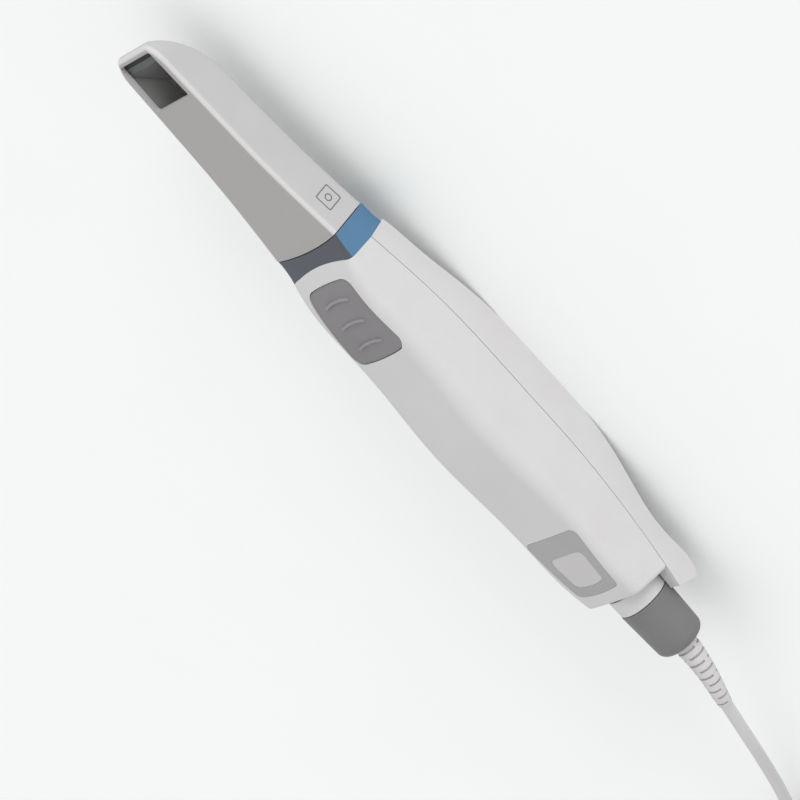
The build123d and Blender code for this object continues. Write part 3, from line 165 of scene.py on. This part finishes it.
# Fine grains and brushing are drawn several times coarser than the real ones, which would not show.
FINISHES: dict[str, Finish] = {
    # Injection-moulded white ABS: satin, with a fine spark-eroded grain that softens its highlights
    "white_abs": Finish("C8C7C8", "C6C4C4", 0.46, grain_mm=0.30, grain_depth_mm=0.003),
    # Heat-proof polysulfone of the tip: a warm light grey, with painted shade that darkens the flat front
    # and a painted highlight that lightens the rounded edges round it
    "tip_plastic": Finish("B7B5B6", "B4B2B3", 0.42, grain_mm=0.25, grain_depth_mm=0.003, front="A2A09F",
                          edge="C9C7C7"),
    # The tip's inner walls: the tip's plastic painted greyer and darker, as painted shade inside the hollow,
    # with a coarser grain
    "tip_inside_shade": Finish("929190", "8B8A89", 0.60, grain_mm=0.25, grain_depth_mm=0.004),
    # Dyed ABS of the collar's front: a cool slate with a satin grain
    "slate_plastic": Finish("4A4E58", "474B55", 0.46, grain_depth_mm=0.005),
    # Dyed ABS of the collar's band: smoother, so the blue looks clean and slightly glossy
    "blue_plastic": Finish("4D7799", "4A7293", 0.40),
    # Glass-filled nylon of the optics: nearly black and matte
    "black_plastic": Finish("151517", "1C1C1E", 0.62, grain_mm=0.2, grain_depth_mm=0.008),
    # Front-silvered mirror: reflects the inside of the tip sharply
    "mirror_glass": Finish("E9ECEC", "E4E8E8", 0.03, unevenness=0.01, metallic=1.0, grain_depth_mm=0.0002),
    # The mirror's ground edge: dull grey-green glass
    "mirror_edge": Finish("5A605E", "545A58", 0.55),
    # Ridges on the button: the same rubber, painted lighter as a painted highlight
    "button_ridge_highlight": Finish("8E8C8E", "8A888A", 0.55, grain_mm=0.22, grain_depth_mm=0.008),
    # Coated optical glass: clear, faintly blue, with sharp reflections
    "window_glass": Finish("DDE8EA", "D5E3E8", 0.03, unevenness=0.01, transmission=1.0, coat=1.0, ior=1.52,
                           grain_depth_mm=0.0002),
    # Rolled spring steel: bright, with fine lines along its length
    "spring_steel": Finish("BDBDBE", "B4B4B7", 0.32, metallic=1.0, grain_depth_mm=0.0006,
                           pattern=Pattern.BRUSHED, pattern_mm=0.3, pattern_depth_mm=0.001),
    # Turned steel of the screws: bright, with fine tool marks
    "steel_screw": Finish("B4B4B6", "9C9CA0", 0.34, metallic=1.0, grain_depth_mm=0.0006,
                          pattern=Pattern.TURNED, pattern_mm=0.2, pattern_depth_mm=0.0015),
    # Milled aluminium: pale and softly brushed
    "aluminium": Finish("C9CACC", "BEBFC2", 0.38, metallic=1.0, grain_depth_mm=0.0006,
                        pattern=Pattern.BRUSHED, pattern_mm=0.3, pattern_depth_mm=0.0015),
    # Black anodised aluminium of the lens barrels: dark, with fine tool marks
    "lens_barrel": Finish("1B1C1F", "242529", 0.35, metallic=0.6, pattern=Pattern.TURNED, pattern_mm=0.2,
                          pattern_depth_mm=0.004),
    # Green solder mask over copper tracks: glossy, with raised lines
    "circuit_board": Finish("1F5A33", "2A6B3F", 0.35, coat=0.4, pattern=Pattern.TRACES, pattern_mm=0.4,
                            pattern_depth_mm=0.012),
    # Silicone rubber of the button: mid grey and dry
    "button_rubber": Finish("807E80", "7B797B", 0.58, grain_mm=0.22, grain_depth_mm=0.008),
    # Natural nylon of the sockets: cream
    "socket_plastic": Finish("D9D3C4", "CFC8B6", 0.48),
    # Polyimide film over copper lanes: amber, glossy, ribbed along the lanes
    "flex_film": Finish("A8702C", "96621F", 0.28, coat=0.3, pattern=Pattern.LANES, pattern_mm=0.377,
                        pattern_depth_mm=0.01),
    # Printed polycarbonate film of the label: even grey with a faint grain
    "label_grey": Finish("A1A0A0", "9D9C9C", 0.50, grain_mm=0.18, grain_depth_mm=0.002),
    # The label's lighter panel: the same film, a little smoother
    "label_light": Finish("BFBDBE", "BCBABA", 0.44, grain_mm=0.18, grain_depth_mm=0.002),
    # Moulded nylon of the cable sleeve: dark grey with a coarser grain
    "sleeve_grey": Finish("717070", "6D6C6C", 0.50, grain_mm=0.4, grain_depth_mm=0.01),
    # Thermoplastic rubber of the strain reliefs: light grey and matte
    "relief_grey": Finish("C8C6C6", "C3C1C1", 0.55, grain_mm=0.3, grain_depth_mm=0.006),
    # Extruded polyurethane jacket: light grey, smooth, with a slow change of tone along it
    "cord_jacket": Finish("CAC9C9", "C5C3C3", 0.50, grain_mm=0.5, grain_depth_mm=0.006, mottle_mm=22.0),
    # Woven hook-and-loop tie: black, rough, its threads drawn about twice as coarse
    "tie_fabric": Finish("1D1D1F", "2A2A2D", 0.85, pattern=Pattern.WEAVE, pattern_mm=0.5655,
                         pattern_depth_mm=0.12),
    # White thermoplastic of the plug's tongue
    "white_insulator": Finish("DADADA", "D2D2D2", 0.45),
}
PAPER = Finish("F9FBFA", "F8FAF9", 0.9, grain_mm=0.8, grain_depth_mm=0.002, mottle_mm=60.0)


class Shader:
    """Node material of one finish, in object coordinates."""

    def __init__(self, slot: str, finish: Finish) -> None:
        """Start an empty node tree.

        Args:
            slot: Material slot and material name.
            finish: What the surface is like.
        """
        self.finish = finish
        self.material = bpy.data.materials.new(slot)
        self.material.use_nodes = True
        self.tree = self.material.node_tree
        self.tree.nodes.clear()

    def add(self, kind: str, inputs: dict[str, object] | None = None, **settings: object) -> bpy.types.Node:
        """Add one node.

        Args:
            kind: Blender's node type without its prefix.
            inputs: Values or sockets by input name.
            settings: Attributes to set on the node.

        Returns:
            The new node.
        """
        node = self.tree.nodes.new("ShaderNode" + kind)
        for name, value in settings.items():
            setattr(node, name, value)
        for name, value in (inputs or {}).items():
            if isinstance(value, bpy.types.NodeSocket):
                self.tree.links.new(value, node.inputs[name])
            else:
                node.inputs[name].default_value = value
        return node

    def noise(self, size_mm: float, detail: float = 2.0, stretch: Vec3 = (1, 1, 1)) -> bpy.types.NodeSocket:
        """Noise of a real size.

        Args:
            size_mm: Size of one blotch.
            detail: Octaves.
            stretch: Scale along each axis.

        Returns:
            Socket with the noise value.
        """
        place = self.add("TexCoord").outputs["Object"]
        mapped = self.add("Mapping", {"Vector": place, "Scale": stretch}).outputs[0]
        scale = 1 / (size_mm * MM)
        return self.add("TexNoise", {"Vector": mapped, "Scale": scale, "Detail": detail}).outputs[0]

    def spread(self, value: bpy.types.NodeSocket, low: float, high: float) -> bpy.types.NodeSocket:
        """Map a value from the middle of the noise's range onto two limits.

        Args:
            value: Socket with noise.
            low: Result at the noise's low end.
            high: Result at the noise's high end.

        Returns:
            Socket with the mapped value.
        """
        lowest, highest = NOISE_RANGE
        return self.add("MapRange", {"Value": value, "From Min": lowest, "From Max": highest,
                                     "To Min": low, "To Max": high}).outputs[0]

    def paint_light_by_facing(self, base: bpy.types.NodeSocket, code: str,
                 rise: tuple[float, float]) -> bpy.types.NodeSocket:
        """Paint light by facing: lay another colour, as painted shade or a painted highlight, on what looks
        out of the scanner's front.

        Args:
            base: Socket with the colour so far.
            code: Six hex digits of the other colour.
            rise: Heights of the unit normal where the colour starts and where it is full.

        Returns:
            Socket with the mixed colour.
        """
        normal = self.add("TexCoord").outputs["Normal"]
        height = self.add("SeparateXYZ", {"Vector": normal}).outputs["Z"]
        share = self.add("MapRange", {"Value": height, "From Min": rise[0], "From Max": rise[1]},
                         interpolation_type="SMOOTHSTEP").outputs[0]
        return self.add("Mix", {"Factor": share, "A": base, "B": linear(code)}, data_type="RGBA").outputs[2]

    def pattern(self) -> bpy.types.NodeSocket | None:
        """Height of the pattern that lies over the plain surface.

        Returns:
            Socket with a height from zero to one, or None for a plain surface.
        """
        finish = self.finish
        pitch = finish.pattern_mm * MM
        place = self.add("TexCoord").outputs["Object"]
        if finish.pattern is Pattern.BRUSHED:
            return self.noise(finish.pattern_mm, PATTERN_DETAIL, BRUSHED_STRETCH)
        if finish.pattern is Pattern.TURNED:
            return self.noise(finish.pattern_mm, PATTERN_DETAIL, TURNED_STRETCH)
        if finish.pattern is Pattern.TRACES:
            track, other, gap = TRACE_TONES
            bricks = self.add("TexBrick", {"Vector": place, "Scale": BRICK_ROW / pitch,
                                           "Mortar Size": TRACE_GAP, "Color1": track, "Color2": other,
                                           "Mortar": gap})
            return bricks.outputs["Color"]
        if finish.pattern is Pattern.LANES:
            lanes = self.add("TexWave", {"Vector": place, "Scale": WAVE_PERIOD / pitch}, bands_direction="X")
            return lanes.outputs[1]
        if finish.pattern is Pattern.WEAVE:
            wave = {"Vector": place, "Scale": WAVE_PERIOD / pitch, "Distortion": WEAVE_DISTORTION}
            across = self.add("TexWave", wave, bands_direction="DIAGONAL").outputs[1]
            along = self.add("TexWave", wave, bands_direction="Z").outputs[1]
            return self.add("Math", {0: across, 1: along}, operation="MULTIPLY").outputs[0]
        return None

    def build(self) -> bpy.types.Material:
        """Wire the whole material.

        Returns:
            The finished material.
        """
        finish = self.finish
        shader = self.add("BsdfPrincipled")
        shader.inputs["Metallic"].default_value = finish.metallic
        shader.inputs["IOR"].default_value = finish.ior
        shader.inputs["Coat Weight"].default_value = finish.coat
        shader.inputs["Coat Roughness"].default_value = COAT_ROUGHNESS
        shader.inputs["Transmission Weight"].default_value = finish.transmission
        patches = self.spread(self.noise(finish.mottle_mm), 0.0, 1.0)
        colour = self.add("Mix", {"Factor": patches, "A": linear(finish.colour), "B": linear(finish.second)},
                          data_type="RGBA")
        base = colour.outputs[2]
        # Painted highlight on the rounded edges, then painted shade on the flat front, chosen by how far
        # each face looks out of the front
        if finish.edge:
            base = self.paint_light_by_facing(base, finish.edge, HIGHLIGHT_EDGE_RISE)
        if finish.front:
            base = self.paint_light_by_facing(base, finish.front, SHADED_FRONT_RISE)
        self.tree.links.new(base, shader.inputs["Base Color"])
        gloss = self.spread(self.noise(finish.mottle_mm / GLOSS_FINENESS, GLOSS_DETAIL),
                            finish.roughness - finish.unevenness, finish.roughness + finish.unevenness)
        self.tree.links.new(gloss, shader.inputs["Roughness"])
        relief = self.add("Bump", {"Height": self.noise(finish.grain_mm),
                                   "Distance": finish.grain_depth_mm * MM})
        pattern = self.pattern()
        if pattern is not None:
            relief = self.add("Bump", {"Height": pattern, "Distance": finish.pattern_depth_mm * MM,
                                       "Normal": relief.outputs[0]})
        self.tree.links.new(relief.outputs[0], shader.inputs["Normal"])
        output = self.add("OutputMaterial")
        self.tree.links.new(shader.outputs[0], output.inputs["Surface"])
        return self.material


class Paint:
    """All materials by slot, and their use on nodes and pieces."""

    def __init__(self, finishes: dict[str, Finish]) -> None:
        """Build every material.

        Args:
            finishes: Finish of each material slot.
        """
        self.materials = {slot: Shader(slot, finish).build() for slot, finish in finishes.items()}

    def dress_nodes(self, record: dict, nodes: dict[str, bpy.types.Object]) -> None:
        """Give each CAD node the material of its slot.

        Args:
            record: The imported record.
            nodes: CAD nodes by name.
        """
        for part in record["subparts"]:
            node = nodes[part["node"]]
            node.data.materials.clear()
            node.data.materials.append(self.materials[part["material_slot"]])

    def zone(self, node: bpy.types.Object, slot: str, chosen: Chooser) -> None:
        """Give some faces of a CAD node a finish of their own.

        Args:
            node: The CAD node, already dressed.
            slot: Name of the finish.
            chosen: Tells from the faces' middles, in millimetres, and normals which ones take it.
        """
        count = len(node.data.polygons)
        centres, normals = np.empty(3 * count), np.empty(3 * count)
        node.data.polygons.foreach_get("center", centres)
        node.data.polygons.foreach_get("normal", normals)
        taken = chosen(centres.reshape(-1, 3) / MM, normals.reshape(-1, 3))
        node.data.materials.append(self.materials[slot])
        node.data.polygons.foreach_set("material_index", taken.astype(np.int32))
        log.info("%s: %d of %d faces in %s", node.name, taken.sum(), count, slot)

    def dress(self, piece: bpy.types.Object, slot: str, body: str) -> bpy.types.Object:
        """Give a new piece its material and body.

        Args:
            piece: The piece, already in place.
            slot: Material slot.
            body: CAD body that it rides on.

        Returns:
            The piece.
        """
        piece.data.materials.append(self.materials[slot])
        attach(piece, body)
        return piece


def link(name: str, data: bpy.types.ID) -> bpy.types.Object:
    """Put an object with this data into the scene.

    Args:
        name: Object name.
        data: Mesh, curve, light or camera.

    Returns:
        The object.
    """
    thing = bpy.data.objects.new(name, data)
    bpy.context.scene.collection.objects.link(thing)
    return thing


@dataclass
class Cord:
    """The free cord: one smooth line from the strain relief over the coil to the plug.

    Attributes:
        diameter_mm: Thickness of the jacket.
        length: Real length in metres.
        route_mm: Control points from the strain relief to the coil.
        tail_mm: Control points from the coil to the plug.
        centre_mm: Middle of the coil on the floor.
        bottom_mm: Height of the lowest turn's line.
        radii_mm: Radii of the turns that lie side by side.
        layers: Number of turns that lie on each other.
        first_angle: Where the cord meets the coil.
        last_angle: Where the cord leaves the coil.
        steps: Number of runs between the coil's points.
        round_steps: Fineness of the cord's round section.
        line_steps: Fineness of its line between two points.
    """

    diameter_mm: float = 4.2
    length: float = 1.81
    route_mm: tuple[Vec3, ...] = (
        (-6.3, -156.35, 20.3), (-14.4, -171.15, 17.0), (-25.1, -187.35, 12.0),
        (-37.4, -206.25, 7.0), (-51.5, -224.75, 3.2), (-64.0, -242.25, 3.3),
    )
    tail_mm: tuple[Vec3, ...] = (
        (-34.9, -284.35, 15.9), (-19.4, -280.15, 15.0), (-6.3, -270.95, 9.8),
        (2.4, -257.55, 4.3), (3.8, -241.65, 4.3),
    )
    centre_mm: tuple[float, float] = (-41.9, -258.05)
    bottom_mm: float = 3.3
    radii_mm: tuple[float, ...] = (27.2, 23.0, 18.8)
    layers: int = 4
    first_angle: float = math.radians(144.4)
    last_angle: float = math.radians(285.0)
    steps: int = 171
    round_steps: int = 5
    line_steps: int = 8

    def coil_points(self) -> np.ndarray:
        """Control points of the coil's turns.

        The angle grows evenly. Each turn keeps its radius and height, and the turns run outwards
        and inwards in every other layer. A spline's line lies inside its control points, so the
        radius is swollen by one over three quarters plus a quarter of the step's cosine.

        Returns:
            Points in millimetres, one row each.
        """
        columns = list(range(len(self.radii_mm)))
        order = np.array([(column, layer) for layer in range(self.layers)
                          for column in (columns if layer % 2 == 0 else columns[::-1])])
        whole = 2 * math.pi * (len(order) - 1) + self.last_angle - self.first_angle
        step = whole / self.steps
        index = np.arange(1, self.steps)
        column, layer = order[index * len(order) // self.steps].T
        angle = self.first_angle + index * step
        radius = np.array(self.radii_mm)[column] / (0.75 + 0.25 * math.cos(step))
        return np.column_stack([self.centre_mm[0] + radius * np.cos(angle),
                                self.centre_mm[1] + radius * np.sin(angle),
                                self.bottom_mm + layer * self.diameter_mm])

    def build(self, paint: Paint) -> None:
        """Args:
            paint: Materials.
        """
        points = np.vstack([self.route_mm, self.coil_points(), self.tail_mm]) * MM
        curve = bpy.data.curves.new("cord", "CURVE")
        curve.dimensions = "3D"
        curve.bevel_depth = self.diameter_mm / 2 * MM
        curve.bevel_resolution = self.round_steps
        curve.resolution_u = self.line_steps
        curve.use_fill_caps = True
        line = curve.splines.new("NURBS")
        line.points.add(len(points) - 1)
        line.points.foreach_set("co", np.column_stack([points, np.ones(len(points))]).ravel())
        line.order_u = 3
        line.use_endpoint_u = True
        line.use_smooth = True
        cord = paint.dress(link("cord", curve), "cord_jacket", "root")
        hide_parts("cord_run", "cord_coil", "cord_tail")
        log.info("cord: %d control points", len(points))


@dataclass
class Tip:
    """Slip-on tip: its inside painted darker as painted shade, the mirror's ground edge and a bare marking
    on each side.

    Attributes:
        axis_z_mm: Height of the line that runs through the middle of the tip.
        axis_end_mm: Reach of that line's front end from the middle of the collar.
        rim_z_mm: Height above which the window's rim keeps the colour of the outside.
        mirror_match: Cosine of the angle within which a face counts as the mirror's silvered one.
        mark_reach_mm: Reach of the marking's middle.
        mark_z_mm: Height of the marking's middle.
        mark_half_mm: Half the side of the marking's square.
        mark_line_mm: Width of its line.
        mark_corner_mm: Radius of its corners.
        mark_ring_mm: Radius of the ring in it.
        mark_lift_mm: How far the printed line stands off the plastic.
        mark_start_mm: Distance beside the tip from which the line is dropped onto it.
    """

    axis_z_mm: float = 17.5
    axis_end_mm: float = 70.0
    rim_z_mm: float = 23.3
    mirror_match: float = 0.99
    mark_reach_mm: float = 13.4
    mark_z_mm: float = 17.0
    mark_half_mm: float = 3.2
    mark_line_mm: float = 0.42
    mark_corner_mm: float = 0.6
    mark_ring_mm: float = 1.3
    mark_lift_mm: float = 0.02
    mark_start_mm: float = 50.0

    def build(self, paint: Paint) -> None:
        """Paint shade on the inside and lay the markings.

        Args:
            paint: Materials.
        """
        shell = frame["nodes"]["tip_shell"]
        # Painted shade: the inward-looking faces below the window's rim take a darker copy of the tip's
        # plastic
        paint.zone(shell, "tip_inside_shade", self.inside)
        paint.zone(frame["nodes"]["tip_mirror"], "mirror_edge", self.mirror_edge)
        tree = BVHTree.FromObject(shell, bpy.context.evaluated_depsgraph_get())
        for side, name in ((1, "marking_right"), (-1, "marking_left")):
            self.mark(name, side, tree, paint)

    def inside(self, centres: np.ndarray, normals: np.ndarray) -> np.ndarray:
        """Find the faces of the tip that look inwards.

        Such a face's normal points back to the nearest place on the tip's axis.

        Args:
            centres: Middles of the faces in millimetres.
            normals: Normals of the faces.

        Returns:
            True for each face that looks inwards and lies below the window's rim.
        """
        axis = np.zeros_like(centres)
        axis[:, 1] = np.minimum(centres[:, 1], COLLAR_Y_MM + self.axis_end_mm)
        axis[:, 2] = self.axis_z_mm
        return (((centres - axis) * normals).sum(axis=1) < 0) & (centres[:, 2] < self.rim_z_mm)

    def mirror_edge(self, centres: np.ndarray, normals: np.ndarray) -> np.ndarray:
        """Find the ground faces of the mirror: all that don't look halfway between back and front.

        Args:
            centres: Middles of the faces in millimetres.
            normals: Normals of the faces.

        Returns:
            True for each face that isn't silvered.
        """
        silvered = np.array([0.0, -math.sqrt(0.5), math.sqrt(0.5)])
        return normals @ silvered < self.mirror_match

    def outline(self, half: float, corner: float, steps: int = 8) -> np.ndarray:
        """Outline of a rounded square, or of a circle where the corner is as large as the half side.

        Each corner is a quarter arc about its own middle, turned by a right angle from the last.

        Args:
            half: Half the side.
            corner: Corner radius.
            steps: Points of each corner.

        Returns:
            Points in the plane.
        """
        turns = np.linspace(0, math.pi / 2, steps)
        arc = np.column_stack([np.cos(turns), np.sin(turns)]) * corner + (half - corner)
        quarter = np.array([[0.0, 1.0], [-1.0, 0.0]])
        return np.vstack([arc @ np.linalg.matrix_power(quarter, turn) for turn in range(4)])

    def mark(self, name: str, side: int, tree: BVHTree, paint: Paint) -> None:
        """Lay one marking on the tip: bands between outlines, dropped onto the shell's side.

        Args:
            name: Name of the piece.
            side: One for the right side, minus one for the left.
            tree: The shell's faces.
            paint: Materials.
        """
        line = self.mark_line_mm
        bands = [(self.outline(self.mark_half_mm, self.mark_corner_mm),
                  self.outline(self.mark_half_mm - line, self.mark_corner_mm - line / 2)),
                 (self.outline(self.mark_ring_mm, self.mark_ring_mm),
                  self.outline(self.mark_ring_mm - line, self.mark_ring_mm - line))]
        points, faces = [], []
        for outer, inner in bands:
            first, count = len(points), len(outer)
            for y, z in np.vstack([outer, inner]):
                start = Vector((side * self.mark_start_mm, COLLAR_Y_MM + self.mark_reach_mm + y,
                                self.mark_z_mm + z)) * MM
                hit = tree.ray_cast(start, Vector((-side, 0, 0)))[0]
                points.append(hit + Vector((side * self.mark_lift_mm * MM, 0, 0)))
            here = np.arange(count)
            after = (here + 1) % count
            band = first + np.column_stack([here, after, count + after, count + here])
            faces.extend((band if side > 0 else band[:, ::-1]).tolist())
        mesh = bpy.data.meshes.new(name)
        mesh.from_pydata(points, [], faces)
        paint.dress(link(name, mesh), "sleeve_grey", "tip")
        log.info("%s: %d faces", name, len(faces))


@dataclass
class Tail:
    """Ledges that close the cover's open tail on both sides of the neck.

    Attributes:
        start_mm: Where the ledges start along the scanner, under the front shell's end.
        end_mm: Where they end, just inside the cover's end.
        rim_mm: Height of the cover's rim at the start.
        rise: Rise of the rim for each millimetre towards the tail.
        drop_mm: How far the ledge lies below the rim.
        thick_mm: Thickness.
        axis_mm: Height of the sleeve's axis.
        free_mm: Radius that stays free round that axis.
        sink_mm: How far the ledge goes into the cover's wall.
        edge_mm: Rounding of the edges.
        edge_steps: Faces across each rounding.
        stations: Number of cross sections.
    """

    start_mm: float = -103.6
    end_mm: float = -112.3
    rim_mm: float = 15.7
    rise: float = 0.12
    drop_mm: float = 0.45
    thick_mm: float = 1.2
    axis_mm: float = 20.5
    free_mm: float = 9.8
    sink_mm: float = 0.3
    edge_mm: float = 0.2
    edge_steps: int = 2
    stations: int = 12

    def build(self, paint: Paint) -> None:
        """Make both ledges.

        Args:
            paint: Materials.
        """
        cover = BVHTree.FromObject(frame["nodes"]["back_cover"], bpy.context.evaluated_depsgraph_get())
        for side, name in ((1, "ledge_right"), (-1, "ledge_left")):
            self.ledge(name, side, cover, paint)

    def ledge(self, name: str, side: int, cover: BVHTree, paint: Paint) -> None:
        """Make one ledge: a section with four corners, carried along the tail.

        The top lies a fixed drop below the rim, which rises evenly. The inner edge's distance from
        the middle is the root of the free radius squared less the squared height below the axis.
        The outer edge is found on the cover's wall.

        Args:
            name: Name of the piece.
            side: One for the right side, minus one for the left.
            cover: The cover's faces.
            paint: Materials.
        """
        y = np.linspace(self.start_mm, self.end_mm, self.stations)
        top = self.rim_mm + self.rise * (self.start_mm - y) - self.drop_mm
        near = np.sqrt(self.free_mm ** 2 - (self.axis_mm - top) ** 2)
        hits = [cover.ray_cast(Vector((side * x, *place)) * MM, Vector((side, 0, 0)))[0]
                for x, *place in np.column_stack([near, y, top - self.thick_mm / 2])]
        far = np.array([abs(hit.x) for hit in hits]) / MM + self.sink_mm
        low = top - self.thick_mm
        corners = np.stack([np.column_stack([side * x, y, z])
                            for x, z in ((near, top), (far, top), (far, low), (near, low))], axis=1)
        ring = corners.shape[1]
        index = np.arange(ring * self.stations).reshape(-1, ring)
        here, after = index[:-1], np.roll(index[:-1], -1, axis=1)
        walls = np.stack([here, here + ring, after + ring, after], axis=2).reshape(-1, 4)
        faces = np.vstack([walls, index[0], index[-1][::-1]])
        mesh = bpy.data.meshes.new(name)
        faces = faces if side > 0 else faces[:, ::-1]
        mesh.from_pydata((corners.reshape(-1, 3) * MM).tolist(), [], faces.tolist())
        piece = paint.dress(link(name, mesh), "white_abs", "root")
        edge = piece.modifiers.new("edge", "BEVEL")
        edge.width = self.edge_mm * MM
        edge.segments = self.edge_steps
        log.info("%s: %d faces", name, len(faces))


@dataclass
class Button:
    """Push button in the front face, with a painted highlight on the tops and walls of its ridges.

    Attributes:
        reach_mm: Reach of the button's middle behind the collar.
        pitch_mm: Distance between the ridges.
        length_mm: Length of a ridge across the button.
        width_mm: Width of a ridge.
        bow_mm: Rise of its bow.
        margin_mm: How far round a ridge its finish reaches.
        rows: Places of the ridges in pitches from the middle.
        underside: Height of the unit normal below which a face is the button's underside.
    """

    reach_mm: float = 22.4
    pitch_mm: float = 8.3
    length_mm: float = 12.5
    width_mm: float = 0.9
    bow_mm: float = 0.9
    margin_mm: float = 0.12
    rows: tuple[int, ...] = (-1, 0, 1)
    underside: float = -0.5

    def ridges(self, centres: np.ndarray, normals: np.ndarray) -> np.ndarray:
        """Find the faces of the ridges.

        A ridge lies between two equal bows, one behind the other by its width. A bow's height
        falls off from its middle with the square of the distance.

        Args:
            centres: Middles of the faces in millimetres.
            normals: Normals of the faces.

        Returns:
            True for each face of a ridge.
        """
        across = 2 * centres[:, 0] / self.length_mm
        behind = centres[:, 1] - COLLAR_Y_MM + self.reach_mm - self.bow_mm * (1 - across ** 2)
        found = np.zeros(len(centres), bool)
        for row in self.rows:
            offset = behind - row * self.pitch_mm
            found |= (offset < self.margin_mm) & (offset > -self.width_mm - self.margin_mm)
        return found & (np.abs(across) < 1 + self.margin_mm) & (normals[:, 2] > self.underside)

    def build(self, paint: Paint) -> None:
        """Dress the button: paint a highlight on its ridges.

        Args:
            paint: Materials.
        """
        # Painted highlight: the ridges' faces take a lighter copy of the button's rubber
        paint.zone(frame["nodes"]["button_panel"], "button_ridge_highlight", self.ridges)


@dataclass
class Studio:
    """Floor, light and camera.

    Attributes:
        sky: Strength of the light from all round.
        sun: Strength of the lamp from the right.
        sun_width: Angle that the lamp fills, in radians.
        sun_height: How high the lamp stands, in radians.
        sun_lean: How far the lamp stands towards the tip.
        reach: Half the floor's side.
        clip: Nearest and farthest distance that the camera sees.
    """

    sky: float = 0.905
    sun: float = 1.75
    sun_width: float = math.radians(30.0)
    sun_height: float = math.radians(8.0)
    sun_lean: float = 0.8
    reach: float = 6.0
    clip: tuple[float, float] = (0.05, 20.0)

    def build(self) -> None:
        """Make the studio."""
        self.floor()
        self.lights()
        self.camera()

    def floor(self) -> None:
        """Lay a plain pale floor."""
        mesh = bpy.data.meshes.new("floor")
        corners = np.array([(-1, -1, 0), (1, -1, 0), (1, 1, 0), (-1, 1, 0)]) * self.reach
        mesh.from_pydata(corners.tolist(), [], [(0, 1, 2, 3)])
        floor = link("floor", mesh)
        floor.data.materials.append(Shader("floor_paper", PAPER).build())

    def lights(self) -> None:
        """Light the scene evenly from all round, with one wide soft lamp from the right."""
        world = bpy.data.worlds.new("studio")
        world.use_nodes = True
        world.node_tree.nodes["Background"].inputs["Color"].default_value = (1.0, 1.0, 1.0, 1.0)
        world.node_tree.nodes["Background"].inputs["Strength"].default_value = self.sky
        bpy.context.scene.world = world
        sun = bpy.data.lights.new("window_light", "SUN")
        sun.energy = self.sun
        sun.angle = self.sun_width
        lamp = link("window_light", sun)
        towards = Vector((math.cos(self.sun_height), self.sun_lean, math.sin(self.sun_height)))
        lamp.rotation_euler = towards.to_track_quat("Z", "Y").to_euler()

    def camera(self) -> None:
        """Stand the camera where the photograph was taken."""
        data = bpy.data.cameras.new("camera")
        data.lens = CAMERA_LENS_MM
        data.sensor_width = CAMERA_SENSOR_MM
        data.clip_start, data.clip_end = self.clip
        camera = link("camera", data)
        right = Vector(CAMERA_RIGHT).normalized()
        back = right.cross(Vector(CAMERA_UP)).normalized()
        up = back.cross(right)
        turned = Matrix((right, up, back)).transposed().to_4x4()
        camera.matrix_world = Matrix.Translation(CAMERA_PLACE) @ turned
        bpy.context.scene.camera = camera


def main() -> None:
    """Dress the frame and set the scene."""
    logging.basicConfig(level=logging.INFO, format="%(message)s")
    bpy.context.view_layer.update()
    paint = Paint(FINISHES)
    paint.dress_nodes(frame["record"], frame["nodes"])
    Cord().build(paint)
    Tip().build(paint)
    Button().build(paint)
    Tail().build(paint)
    Studio().build()
    bpy.context.scene.view_settings.view_transform = "Standard"


if __name__ == "__main__":
    main()
